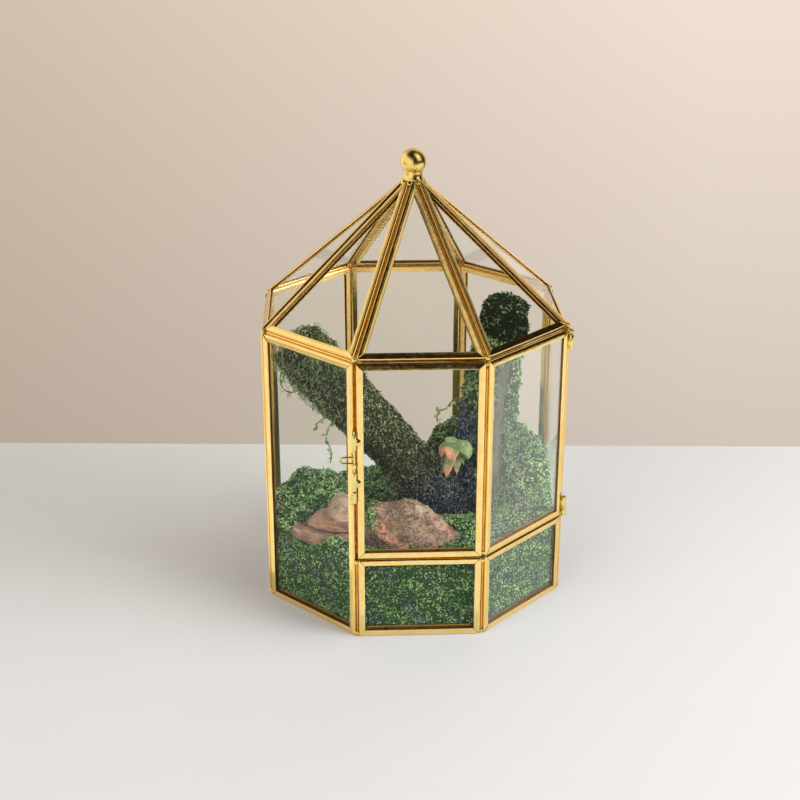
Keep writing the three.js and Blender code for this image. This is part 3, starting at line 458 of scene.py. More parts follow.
# ---------------------------------------------------------------------------
# Finial. A turned brass collar sits on the ribs where the roof panes meet, with
# a fillet of solder round its foot, and holds a polished brass ball.
# ---------------------------------------------------------------------------
solid_values = {"PatinaAndShade": 0.0, "Lemon": 1.0, "Satin": 0.0, "Waves": 1.0, "Across": 0.0}
solid_brass = new_surface("brass_solid", brass_detail, solid_values, METAL)
satin_values = {"PatinaAndShade": 0.1, "Lemon": 0.75, "Satin": 0.10, "Waves": 0.25, "Across": 0.0}
satin_brass = new_surface("brass_satin", brass_detail, satin_values, METAL)


def seeded_waves(seed, wavelength, count=9):
    """A smooth field of about -1 to 1: 1.6 / count times the sum of count sines
    sin(d . p + phase) with seeded directions, clipped to -1 and 1."""
    draws = []
    state = seed
    for _ in range(5 * count):
        state = (state * 1664525 + 1013904223) % 4294967296
        draws.append(state / 4294967296)
    draws = np.array(draws).reshape(count, 5)
    ways = unit(draws[:, :3] - 0.5)
    ways *= (2 * np.pi / (wavelength * (0.7 + 0.8 * draws[:, 3])))[:, None]
    phases = 2 * np.pi * draws[:, 4]
    return lambda p: np.clip(1.6 / count * np.sin(p @ ways.T + phases).sum(-1), -1, 1)


def pole_faces(columns, count):
    """Triangles that close the first row of a grid of count points to the point
    after them, and its last row to the one after that."""
    first = np.arange(columns)
    last = count - columns + first
    low = np.stack([np.roll(first, -1), first, np.full(columns, count)], 1)
    high = np.stack([last, np.roll(last, -1), np.full(columns, count + 1)], 1)
    return [low, high]


def revolve(profile, centre, columns=48, ring=False):
    """A surface of revolution about an upright line: the profile's (radius, height)
    points, from the bottom up, turned through a whole turn. A ring's profile closes
    on itself, and any other starts and ends in one point on the axis."""
    turn = 2 * np.pi * np.arange(columns) / columns
    profile = np.array(profile, float)
    body = profile if ring else profile[1:-1]
    around = np.stack([np.cos(turn), np.sin(turn)], 1)
    flat = body[:, None, :1] * around[None]
    heights = np.broadcast_to(body[:, None, 1:], (len(body), columns, 1))
    points = np.concatenate([flat, heights], -1).reshape(-1, 3)
    if ring:
        faces = [grid_faces(len(body), columns)]
        last = (len(body) - 1) * columns + np.arange(columns)
        first = np.arange(columns)
        faces.append(np.stack([last, np.roll(last, -1), np.roll(first, -1), first], 1))
    else:
        faces = [grid_faces(len(body), columns), *pole_faces(columns, len(points))]
        points = np.concatenate([points, [[0, 0, profile[0, 1]], [0, 0, profile[-1, 1]]]])
    return points + [*centre, 0.0], faces


def joined(parts):
    """Several (points, faces) parts as one."""
    points, faces, count = [], [], 0
    for part_points, part_faces in parts:
        points.append(part_points)
        faces += [f + count for f in part_faces]
        count += len(part_points)
    return np.concatenate(points), faces


def ball_profile(radius, height, steps):
    """Profile points of a ball, at even angles from its foot to its top."""
    angles = np.linspace(-np.pi / 2, np.pi / 2, steps)
    profile = np.stack([radius * np.cos(angles), height + radius * np.sin(angles)], 1)
    profile[[0, -1], 0] = 0
    return profile


BALL_RADIUS = 10.1
BALL_HEIGHT = 346.2
RIB_FALL = np.cos(TURN / 2) * np.tan(ROOF_PITCH)
ball_points, ball_faces = revolve(ball_profile(BALL_RADIUS, BALL_HEIGHT, 41), (0, 0), 72)
dents = seeded_waves(71, 16)(ball_points)
ball_points[:, :2] *= (1 + 0.006 * dents)[:, None]
ball_args = ("case", satin_brass, "brass", ["finial_ball"])
new_piece("finial_ball_polished", ball_points, ball_faces, *ball_args, crease=SMOOTH)

# The collar is a ring: its foot follows the ribs and its rim the ball.


def above_ribs(radius):
    """Height of the collar's underside at a radius."""
    return APEX_HEIGHT + 0.3 - radius * RIB_FALL


def under_ball(radius):
    """Height of the collar's cup at a radius, a little inside the ball."""
    return BALL_HEIGHT - 0.2 - np.sqrt((BALL_RADIUS - 0.25) ** 2 - radius**2)


collar_profile = [
    [3.6, above_ribs(3.6)], [5.5, above_ribs(5.5)], [7.2, above_ribs(7.2) - 0.1],
    [7.9, above_ribs(7.9) - 0.3], [8.1, above_ribs(7.9) + 0.3], [7.8, above_ribs(7.5) + 1.0],
    [7.35, above_ribs(7.5) + 2.0], [7.1, above_ribs(7.5) + 3.2], [7.1, above_ribs(7.5) + 4.4],
    [7.3, under_ball(7.0) - 0.3], [7.25, under_ball(7.0) + 0.1], [7.0, under_ball(7.0) + 0.1],
    [6.4, under_ball(6.4) - 0.1], [5.0, under_ball(5.0) - 0.1], [3.6, under_ball(3.6) - 0.1],
]
collar_points, collar_faces = revolve(collar_profile, (0, 0), 72, ring=True)
bulge = seeded_waves(72, 7)(collar_points)
collar_points[:, :2] *= (1 + 0.03 * bulge)[:, None]
new_piece(
    "finial_collar_turned", collar_points, collar_faces, "case", satin_brass, "brass",
    ["finial_collar"], crease=60,
)

# ---------------------------------------------------------------------------
# Solder. Drops of brass-coloured solder tie the cames where their corners meet,
# at the eave, the foot, the sill and round the collar, and hold the tubes.
# ---------------------------------------------------------------------------


def blob(centre, radii, seed, outward):
    """A drop of solder: an ellipsoid with radii across, up and along outward,
    swollen by 1 + 0.14 times a seeded wave field."""
    points, faces = revolve(ball_profile(1.0, 0.0, 12), (0, 0), 18)
    points *= (1 + 0.14 * seeded_waves(seed, 1.6)(points))[:, None]
    out = unit(np.array(outward, float))
    across = unit(np.cross([0, 0, 1.0], out))
    axes = np.stack([across, np.cross(out, across), out])
    return (points * np.array(radii)) @ axes + np.array(centre, float), faces


def solder_piece(name, drops, body):
    """Drops of solder as one piece."""
    new_piece(name, *joined(drops), body, solid_brass, "brass", crease=SMOOTH)


corner_ways = np.stack([np.cos(corner_angles), np.sin(corner_angles), np.zeros(8)], 1)
CORNER_RADIUS = APOTHEM / np.cos(TURN / 2)
SILL_CORNERS = (0, 1, 2)  # corners of the front and the front right face
RIB_DROP_AT = 8.3


def corner_at(k, height, radius):
    """A point out along the corner between face k - 1 and face k."""
    return corner_ways[k] * radius + [0, 0, height]


def corner_drop(k, height, inset, radii, seed):
    """A drop of solder at corner k, inset from its outer edge."""
    return blob(corner_at(k, height, CORNER_RADIUS - inset), radii, seed, corner_ways[k])


case_drops = []
for k in range(8):
    size = 1.0 if k in (7, *SILL_CORNERS) else 0.6
    eave = WALL_HEIGHT + (1.2 if k in SILL_CORNERS else -0.3)
    eave_radii = (2.0 * size, 2.1 * size, 1.6 * size)
    foot_radii = (1.6 * size, 2.0 * size, 1.3 * size)
    case_drops.append(corner_drop(k, eave, 1.9, eave_radii, 600 + k))
    case_drops.append(corner_drop(k, 2.3, 1.7, foot_radii, 610 + k))
    if k in SILL_CORNERS:
        case_drops.append(corner_drop(k, SILL_HEIGHT - 3.2, 1.9, (1.6, 2.2, 1.3), 630 + k))
    at = corner_at(k, APEX_HEIGHT - RIB_DROP_AT * RIB_FALL - 0.6, RIB_DROP_AT)
    case_drops.append(blob(at, (2.2, 2.6, 1.2), 640 + k, corner_ways[k] * 0.6 + [0, 0, 0.8]))
solder_piece("case_solder", case_drops, "case")
DOOR_DROP = (1.5, 1.7, 1.2)
door_drops = [
    corner_drop(1, WALL_HEIGHT - 3.6, 2.0, DOOR_DROP, 650),
    corner_drop(1, SILL_HEIGHT + 3.4, 2.0, DOOR_DROP, 651),
]
solder_piece("door_solder", door_drops, "door")

# ---------------------------------------------------------------------------
# Hinges. Two brass tubes soldered to the door turn on pins that are soldered to
# the case at its right corner, the upper one under a bead, the lower on a lug.
# ---------------------------------------------------------------------------
HINGE_REACH = 129.2  # from the case's axis to the hinge's
HINGE_WAY = np.array([np.cos(-TURN / 2), np.sin(-TURN / 2)])
HINGE_AT = HINGE_REACH * HINGE_WAY
PIN_RADIUS = 0.8
BEAD_HEIGHT = 224.6
HINGE_TUBE = (HINGE_AT, 2.0, 1.15, 0.25, 36)  # place, radius, bore, softness, columns


def tube_profile(outer, inner, low, high, soft):
    """Ring profile of a length of tube with soft outer edges, from the inside of
    its foot, up the outside and back down the bore."""
    return [
        [inner, low], [outer - soft, low], [outer - 0.3 * soft, low + 0.3 * soft],
        [outer, low + soft], [outer + 0.04, (low + high) / 2], [outer, high - soft],
        [outer - 0.3 * soft, high - 0.3 * soft], [outer - soft, high], [inner, high],
    ]


def rod_profile(radius, low, high, soft):
    """Closed profile of a round rod with soft ends."""
    return [
        [0, low], [radius - soft, low], [radius, low + soft],
        [radius, high - soft], [radius - soft, high], [0, high],
    ]


def tube_piece(name, kind, low, high, body):
    """A length of tube in the place of its solid, of a kind like HINGE_TUBE."""
    at, radius, bore, soft, columns = kind
    tube = revolve(tube_profile(radius, bore, low, high, soft), at, columns, ring=True)
    new_piece(name + "_smooth", *tube, body, solid_brass, "brass", [name], crease=50)


upper_pin = joined([
    revolve(ball_profile(2.1, BEAD_HEIGHT, 21), HINGE_AT, 32),
    revolve(rod_profile(PIN_RADIUS, 212.0, BEAD_HEIGHT, 0.2), HINGE_AT, 24),
])
new_piece("hinge_pin_upper_drop", *upper_pin, "case", solid_brass, "brass", ["hinge_pin_upper"])
lower_pin = joined([
    revolve(rod_profile(2.0, 66.8, 73.1, 0.5), HINGE_AT, 32),
    revolve(rod_profile(PIN_RADIUS, 67.8, 84.6, 0.35), HINGE_AT, 24),
])
new_piece("hinge_pin_lower_lug", *lower_pin, "case", solid_brass, "brass", ["hinge_pin_lower"])
tube_piece("hinge_tube_upper", HINGE_TUBE, 210.6, 221.9, "door")
tube_piece("hinge_tube_lower", HINGE_TUBE, 73.4, 83.8, "door")

# Solder between each hinge part and the came beside it.
outward = np.append(HINGE_AT / HINGE_REACH, 0.0)
solder_piece("hinge_case_solder", [
    blob(np.append(HINGE_AT, 225.6) - outward * 2.2, (1.7, 1.9, 1.6), 660, outward),
    blob(np.append(HINGE_AT, 69.4) - outward * 2.3, (1.5, 2.3, 1.2), 661, outward),
], "case")
door_way = np.array([-0.35, -0.94, 0.0])
solder_piece("hinge_door_solder", [
    blob(np.append(HINGE_AT, 216.2) + [-1.7, -0.9, 0], (1.2, 4.2, 1.0), 662, door_way),
    blob(np.append(HINGE_AT, 78.6) + [-1.7, -0.9, 0], (1.2, 4.0, 1.0), 663, door_way),
], "door")

# ---------------------------------------------------------------------------
# Latch. A brass wire bolt slides in two guide tubes on the door's left edge and
# drops into a keeper tube soldered to the front left wall.
# ---------------------------------------------------------------------------
LATCH_REACH = 128.35
latch_angle = -np.pi / 2 - TURN / 2
LATCH_AT = LATCH_REACH * np.array([np.cos(latch_angle), np.sin(latch_angle)])
LATCH_TUBE = (LATCH_AT, 1.6, 1.05, 0.2, 32)
tube_piece("latch_guide_upper", LATCH_TUBE, 159.0, 171.5, "door")
tube_piece("latch_guide_lower", LATCH_TUBE, 125.4, 140.6, "door")
tube_piece("latch_keeper", LATCH_TUBE, 115.6, 124.7, "case")


def curve_at(points, t):
    """Places on a centripetal Catmull-Rom curve through points, t from 0 to 1 over
    the points' numbers. The spans next to the ends mirror their neighbour."""
    points = np.array(points, float)
    whole = np.concatenate([[2 * points[0] - points[1]], points, [2 * points[-1] - points[-2]]])
    place = np.clip(np.asarray(t, float), 0, 1) * (len(points) - 1)
    i = np.minimum(place.astype(int), len(points) - 2)
    w = (place - i)[:, None]
    p0, p1, p2, p3 = (whole[i + n] for n in range(4))
    spans = ((p0, p1), (p1, p2), (p2, p3))
    d0, d1, d2 = (((b - a) ** 2).sum(1, keepdims=True) ** 0.25 for a, b in spans)
    t1 = ((p1 - p0) / d0 - (p2 - p0) / (d0 + d1) + (p2 - p1) / d1) * d1
    t2 = ((p2 - p1) / d1 - (p3 - p1) / (d1 + d2) + (p3 - p2) / d2) * d1
    square = -3 * p1 + 3 * p2 - 2 * t1 - t2
    cube = 2 * p1 - 2 * p2 + t1 + t2
    return p1 + t1 * w + square * w**2 + cube * w**3


def sweep(path, radii, sides):
    """A round rod along a path, its rings square to the path and turned as little
    as can be, with both ends closed to a point. radii is one number or one a point."""
    path = np.array(path, float)
    tangents = unit(np.gradient(path, axis=0))
    side = np.cross(tangents[0], [0.31, 0.2, 0.93])
    sides_of = []
    for tangent in tangents:
        side = unit(side - tangent * (side @ tangent))
        sides_of.append(side)
    a = np.array(sides_of)
    b = np.cross(tangents, a)
    turn = 2 * np.pi * np.arange(sides) / sides
    radii = np.broadcast_to(np.asarray(radii, float), (len(path),))[:, None, None]
    ways = np.cos(turn)[:, None] * a[:, None] + np.sin(turn)[:, None] * b[:, None]
    rings = path[:, None] + radii * ways
    points = np.concatenate([rings.reshape(-1, 3), path[[0, -1]]])
    return points, [grid_faces(len(path), sides), *pole_faces(sides, len(path) * sides)]


LOOP_REACH = 10.8  # how far the handle stands out to the left
loop = np.array([
    [0, 0, 153.1], [-0.45, 0, 153.1], [-0.82, 0, 152.6], [-1, 0, 150.65],
    [-0.82, 0, 148.7], [-0.45, 0, 148.2], [0, 0, 148.2],
])
loop_path = curve_at(loop * [LOOP_REACH, 1, 1], np.linspace(0, 1, 61)) + np.append(LATCH_AT, 0.0)
bolt = joined([
    revolve(rod_profile(0.75, 125.1, 174.0, 0.3), LATCH_AT, 24),
    revolve(rod_profile(1.5, 144.1, 147.4, 0.4), LATCH_AT, 28),
    sweep(loop_path, 0.8, 16),
])
new_piece("latch_bolt_wire", *bolt, "bolt", solid_brass, "brass", ["latch_bolt"])

# Solder: a lump holds each guide to the door's came and the keeper to the wall's.
door_side = np.array([0.92, 0.12, 0.0])
solder_piece("latch_door_solder", [
    blob(np.append(LATCH_AT, 164.9) + door_side * 2.7, (2.7, 3.3, 1.2), 670, [0.0, -1.0, 0]),
    blob(np.append(LATCH_AT, 131.4) + door_side * 2.7, (2.7, 3.5, 1.2), 671, [0.0, -1.0, 0]),
], "door")
wall_side = np.array([-0.74, 0.56, 0.0])
solder_piece("latch_keeper_solder", [
    blob(np.append(LATCH_AT, 117.6) + wall_side * 2.6, (2.7, 4.2, 1.3), 673, [-0.7, -0.7, 0]),
], "case")

# ---------------------------------------------------------------------------
# Seams. A thin bead of solder runs along every joint between two panes, deep in
# the groove. Where the door meets the case it lies inside, as the door's stop.
# ---------------------------------------------------------------------------
INNER_APEX = INNER_EAVE + INNER_APOTHEM * np.tan(ROOF_PITCH)
SEAM_ROUND = 0.85
GROOVE_DEPTH = 1.7  # how far a bead's middle lies outside the panes' inner faces
STOP_DEPTH = -1.0
RIB_TOP_AT = 4.0
SEAM_GAP = 1.0


def seam(start, end, steps, low=0.0, high=1.0):
    """A bead on the line from start to end, from the share low to the share high of
    its length, its radius wandering by a tenth."""
    line = start + (end - start) * np.linspace(low, high, steps)[:, None]
    return sweep(line, SEAM_ROUND * (1 + 0.1 * seeded_waves(680, 9)(line)), 8)


def corner_seam(k, low, high, depth=GROOVE_DEPTH):
    """An upright bead at corner k, depth outside the panes' inner faces."""
    radius = (INNER_APOTHEM + depth) / np.cos(TURN / 2)
    return seam(corner_at(k, low, radius), corner_at(k, high, radius), 30)


case_seams, eave_seams, rib_seams = [], [], []
for k in range(8):
    groove_top = SILL_HEIGHT - SEAM_GAP if k in SILL_CORNERS else WALL_TOP
    case_seams.append(corner_seam(k, 0.6, groove_top))
    if k in (0, 2):
        case_seams.append(corner_seam(k, SILL_HEIGHT - SEAM_GAP, WALL_TOP, STOP_DEPTH))
    depth, height = (-0.95, -0.1) if k in (0, 1) else (1.5, 0.7)
    radius = (INNER_APOTHEM + depth) / np.cos(TURN / 2)
    ends = [corner_at(n, INNER_EAVE + height, radius) for n in (k, (k + 1) % 8)]
    eave_seams.append(seam(*ends, 24, 0.005, 0.995))
    rib_foot = corner_at(k, INNER_EAVE + 1.7, INNER_APOTHEM / np.cos(TURN / 2))
    rib_top = corner_at(k, INNER_APEX + 1.9 - RIB_TOP_AT * RIB_FALL, RIB_TOP_AT)
    rib_seams.append(seam(rib_foot, rib_top, 30, 0.01))
door_seams = [corner_seam(1, SILL_HEIGHT + SEAM_GAP, WALL_TOP - SEAM_GAP)]
# Each bead's share of painted reflection and shade: the beads deep in the groove and the door's stop as
# much as the web, the ribs' a little less and the eaves' little.
for name, seams, body, dull in (
    ("case_seams", case_seams, "case", 0.66), ("eave_seams", eave_seams, "case", 0.1),
    ("rib_seams", rib_seams, "case", 0.5), ("door_seam", door_seams, "door", 0.66),
):
    points, faces = joined(seams)
    patches = seeded_waves(681, 23)(points)
    values = {"patina": dull + 0.12 * patches, "across": np.zeros(len(points))}
    new_piece(name, points, faces, body, came_brass, "brass", (), values, SMOOTH)

# ---------------------------------------------------------------------------
# Driftwood. One forked piece of old grey-brown wood: an upright trunk rooted in
# the bed and a branch that grows out of its foot and slants up to the left.
# ---------------------------------------------------------------------------
SEED = 20417
TRUNK = {
    "points": [[60, 12, 22], [60, 12, 70], [61, 12, 120], [65, 11, 165], [72, 9, 205], [75, 8, 224]],
    "foot": 21.0, "top": 13.5, "end": 7.0,
}
BRANCH = {
    "points": [[42, 8, 34], [17, 4, 66], [-5, 1, 95], [-25, 0, 120], [-71, 0, 173], [-91, 0, 197]],
    "foot": 23.0, "top": 14.0, "end": 6.0,
}
wood_waves = seeded_waves(SEED, 17)


def limb_grid(limb, t, push, angles, radius_at):
    """A grid of points round a limb's middle line, one row for each t, moved on by
    push, and one column for each angle: 0 is left, a quarter turn on is the front.
    radius_at gives the radius from a point beside the limb, its t and its angle."""
    t = np.asarray(t, float)
    step = 1e-4
    tangent = unit(curve_at(limb["points"], t + step) - curve_at(limb["points"], t - step))
    middle = curve_at(limb["points"], t) + tangent * np.asarray(push, float)[:, None]
    side = unit(np.cross(tangent, [0.0, 1.0, 0.0]))
    depth = np.cross(tangent, side)
    way = np.cos(angles)[:, None] * side[:, None] + np.sin(angles)[:, None] * depth[:, None]
    probe = middle[:, None] + way * limb["foot"]
    radius = radius_at(probe, t[:, None], np.asarray(angles)[None])
    return middle[:, None] + way * radius[..., None]


def wood_radius(limb, grow=0.0):
    """The wood's radius: foot + (top - foot) t, with 1.3 mm of slow lumps, and grown
    by grow."""
    def radius_at(probe, t, angle):
        return limb["foot"] + (limb["top"] - limb["foot"]) * t + grow + 1.3 * wood_waves(probe)
    return radius_at


def limb_shell(limb, start, rows, columns, radius_at, reach):
    """Rows of a limb from start to its top, and on over a rounded end that stands
    out by reach."""
    turn = 2 * np.pi * np.arange(columns) / columns
    bends = np.linspace(0, np.pi / 2, 14)[1:-1]
    t = np.concatenate([np.linspace(start, 1, rows), np.ones(len(bends))])
    bend = np.concatenate([np.zeros(rows), bends])[:, None]
    def rounded(probe, row_t, angle):
        return radius_at(probe, row_t, angle) * np.cos(bend)
    return limb_grid(limb, t, reach * np.sin(bend[:, 0]), turn, rounded)


def closed_grid(grid):
    """Points and faces of a grid that closes round its columns, with a point that
    closes the first row and one that closes the last."""
    rows, columns = grid.shape[:2]
    points = np.concatenate([grid.reshape(-1, 3), grid[[0, -1]].mean(1)])
    return points, [grid_faces(rows, columns), *pole_faces(columns, rows * columns)]


bark_fine = seeded_waves(81, 3.2, 14)
bark_twist = seeded_waves(82, 26)


def bark_radius(limb):
    """The wood's radius with 11 ridges that run along the limb, 0.9 mm times the
    power 0.6 of a sine over the angle, with 26 finer ones of 0.35 mm between them
    and a grain of 0.25 mm. Slow waves make the ridges wander."""
    plain = wood_radius(limb)
    def radius_at(probe, t, angle):
        wander = bark_twist(probe)
        ridges = np.abs(np.sin(5.5 * angle + 4.8 * wander + 2.4 * t)) ** 0.6
        small = np.abs(np.sin(13 * angle + 6.4 * wander))
        relief = 0.9 * (ridges - 0.8) + 0.35 * small + 0.25 * bark_fine(probe) - 0.4
        return plain(probe, t, angle) + relief
    return radius_at


def bark_group():
    """Grey-brown weathered wood: long fibres, dark cracks and greenish stains."""
    group, place, _, end = new_group("bark_detail")
    long_way = add_node(group, "Mapping", {"Vector": place, "Scale": (1, 1, 0.16)}).outputs[0]
    fibres = noise_node(group, long_way, 620, 6, 0.7)
    cracks = map_node(group, noise_node(group, long_way, 210, 5, 0.65), 0.42, 0.55)
    color = mix_colors(group, fibres, (0.045, 0.038, 0.026, 1), (0.17, 0.15, 0.105, 1))
    color = mix_colors(group, cracks, (0.018, 0.013, 0.009, 1), color)
    green = map_node(group, noise_node(group, place, 60, 4), 0.42, 0.6, 0.1, 0.8)
    color = mix_colors(group, green, color, (0.07, 0.10, 0.04, 1))
    rough = map_node(group, fibres, 0, 1, 0.95, 0.7)
    height = math_node(group, "ADD", fibres, product(group, cracks, 0.8))
    close_group(group, end, color, rough, height, 0.8, 0.0012)
    return group


bark = new_surface("old_wood", bark_group())
wood_parts = []
for limb in (TRUNK, BRANCH):
    wood_parts.append(closed_grid(limb_shell(limb, 0, 110, 120, bark_radius(limb), limb["end"])))
new_piece("driftwood_fork", *joined(wood_parts), "case", bark, "driftwood", ["driftwood"], crease=SMOOTH)

# ---------------------------------------------------------------------------
# Stones. Three pieces of layered red-brown sandstone: a thin slab, a slab with a
# round hump on it, and a block. They lie in the moss bed, each on its own.
# ---------------------------------------------------------------------------
STONES = {
    "stone_slab_lower": {
        "outline": [[-101, -54], [-84, -72], [-62, -80], [-43, -78], [-42, -48], [-60, -38], [-82, -42]],
        "middle": [-68, -59], "low": 57, "ridge": [[-101, 65.6], [-42, 65.9]],
        "ridge_y": -59, "fall": 0.02, "grain": 0.6,
    },
    "stone_slab_upper": {
        "outline": [[-88, -58], [-74, -68], [-58, -72], [-43, -70], [-42, -46], [-56, -38], [-74, -44]],
        "middle": [-62, -56], "low": 66.9,
        "ridge": [[-92, 72], [-80, 75], [-70, 77.5], [-65, 85.5], [-60, 88.3], [-42, 87]],
        "ridge_y": -50, "fall": 0.14, "grain": 0.9,
    },
    "stone_block": {
        "outline": [
            [-43, -84], [-24, -95], [8, -95], [30, -86], [37, -70], [14, -52], [-14, -44], [-42, -48],
        ],
        "middle": [-4, -72], "low": 55,
        "ridge": [[-42, 82.5], [-15, 82], [-8, 86], [0, 85], [8, 81], [18, 75], [28, 69], [37, 64]],
        "ridge_y": -58, "fall": 0.34, "grain": 1.1,
    },
}
STONE_COLUMNS = 220
SIDE_ROWS = 44
TOP_ROWS = 46


def on_plan(x, y):
    """Points at height 0 with the given x and y."""
    return np.stack([x, y, 0 * x], -1)


def stone_reach(stone, angles):
    """Distance from a stone's middle to its outline along each angle, its corners
    rounded by two thirds of its mean over 9 points, 2 degrees apart."""
    corners = np.array(stone["outline"], float)
    ends = np.roll(corners, -1, axis=0)
    line = np.concatenate([np.linspace(a, b, 40, endpoint=False) for a, b in zip(corners, ends)])
    away = line - stone["middle"]
    at = np.arctan2(away[:, 1], away[:, 0])
    order = np.argsort(at)
    far = np.hypot(*away.T)[order]
    around = np.linspace(-np.pi, np.pi, 181)[:-1]
    even = np.interp(around, at[order], far, period=2 * np.pi)
    soft = np.mean([np.roll(even, n) for n in range(-4, 5)], axis=0)
    return np.interp(angles, around, 0.35 * even + 0.65 * soft, period=2 * np.pi)


def stone_top(stone, rough):
    """Height of the top: its ridge line over x, smooth from point to point, falling
    to the front from ridge_y and gently to the back, with the grain of its layers."""
    xs, zs = np.array(stone["ridge"], float).T
    def height(x, y):
        i = np.clip(np.searchsorted(xs, x, side="right") - 1, 0, len(xs) - 2)
        s = np.clip((x - xs[i]) / (xs[i + 1] - xs[i]), 0, 1)
        ridge = zs[i] + (zs[i + 1] - zs[i]) * s * s * (3 - 2 * s)
        grain = rough(on_plan(x, y))
        away = y - stone["ridge_y"]
        slope = stone["fall"] * np.minimum(away, 0) - 0.12 * np.maximum(away, 0)
        return ridge + slope + stone["grain"] * grain
    return height


def stone_shape(stone, seed):
    """The stone as rings from its underside up its broken side and over its top.
    The side steps in and out by layers: 0.55 mm times tanh(3 sin(layer)), 0.8 mm
    of slow and 0.3 mm of fine waves. Waves chip the top, whose rim falls away."""
    rough = seeded_waves(seed, 12)
    layers = seeded_waves(seed + 40, 5)
    fine = seeded_waves(seed + 60, 2.6, 14)
    angles = 2 * np.pi * np.arange(STONE_COLUMNS) / STONE_COLUMNS
    reach = stone_reach(stone, angles)
    top = stone_top(stone, rough)
    low = stone["low"]
    counts = [4, SIDE_ROWS, TOP_ROWS]
    inwards = np.linspace(0.985, 0.02, TOP_ROWS)
    scale = np.concatenate([[0.02, 0.4, 0.75, 0.93], np.ones(SIDE_ROWS), inwards])[:, None]
    share = np.concatenate([np.zeros(4), np.linspace(0, 1, SIDE_ROWS), np.ones(TOP_ROWS)])[:, None]
    on_side = np.repeat([False, True, False], counts)[:, None]
    on_top = np.repeat([False, False, True], counts)[:, None]
    radius = scale * reach
    x = stone["middle"][0] + radius * np.cos(angles)
    y = stone["middle"][1] + radius * np.sin(angles)
    z = low + share * np.maximum(top(x, y) - low, 0.5)
    place = np.stack([x, y, z], -1)
    tall = rough(np.stack([x, y, 3 * z], -1))
    strata = np.sin(z * 2.9 + 1.4 * layers(place) + 2 * tall)
    steps = 0.55 * np.tanh(3 * strata) + 0.8 * tall + 0.3 * fine(place)
    corner = np.clip(1 - ((share - 0.5) * 2.08) ** 8, 0, 1)
    out = np.where(on_side, steps * (0.35 + 0.65 * corner) - 1.3 * (share**10) - 0.4, -0.8)
    out = np.where(on_top, -1.6 * scale**4, out)
    radius = np.maximum(radius + out, 0.2)
    x = stone["middle"][0] + radius * np.cos(angles)
    y = stone["middle"][1] + radius * np.sin(angles)
    edge = np.clip((scale - 0.9) / 0.085, 0, 1) ** 2
    flat = on_plan(x, y)
    chips = 0.35 * fine(flat) - 0.9 * np.clip(layers(flat), 0, 1)
    z = z + np.where(on_top, chips * 0.8 - 0.7 * edge, 0)
    points = np.stack([x, y, np.maximum(z, low)], -1)
    return closed_grid(chiselled(points, stone, seed))


def chiselled(points, stone, seed):
    """Points cut back to flat faces: 16 seeded planes that face the front or up,
    each 3 to 12 hundredths inside the stone's reach that way, cut nine tenths of
    what stands out."""
    rng = np.random.default_rng(seed)
    middle = np.array([*stone["middle"], stone["low"] + 6.0])
    for _ in range(16):
        angle = rng.uniform(-np.pi, 0)
        rise = rng.uniform(0.0, 0.8)
        way = np.array([np.cos(angle) * np.cos(rise), np.sin(angle) * np.cos(rise), np.sin(rise)])
        far = (points - middle) @ way
        over = np.maximum(far - far.max() * rng.uniform(0.88, 0.97), 0)
        points = points - 0.9 * over[..., None] * way
    return points


def scaled(tree, color, light):
    """A colour made lighter or darker by a factor."""
    made = add_node(tree, "VectorMath", {0: color, 3: light}, operation="SCALE")
    return made.outputs[0]


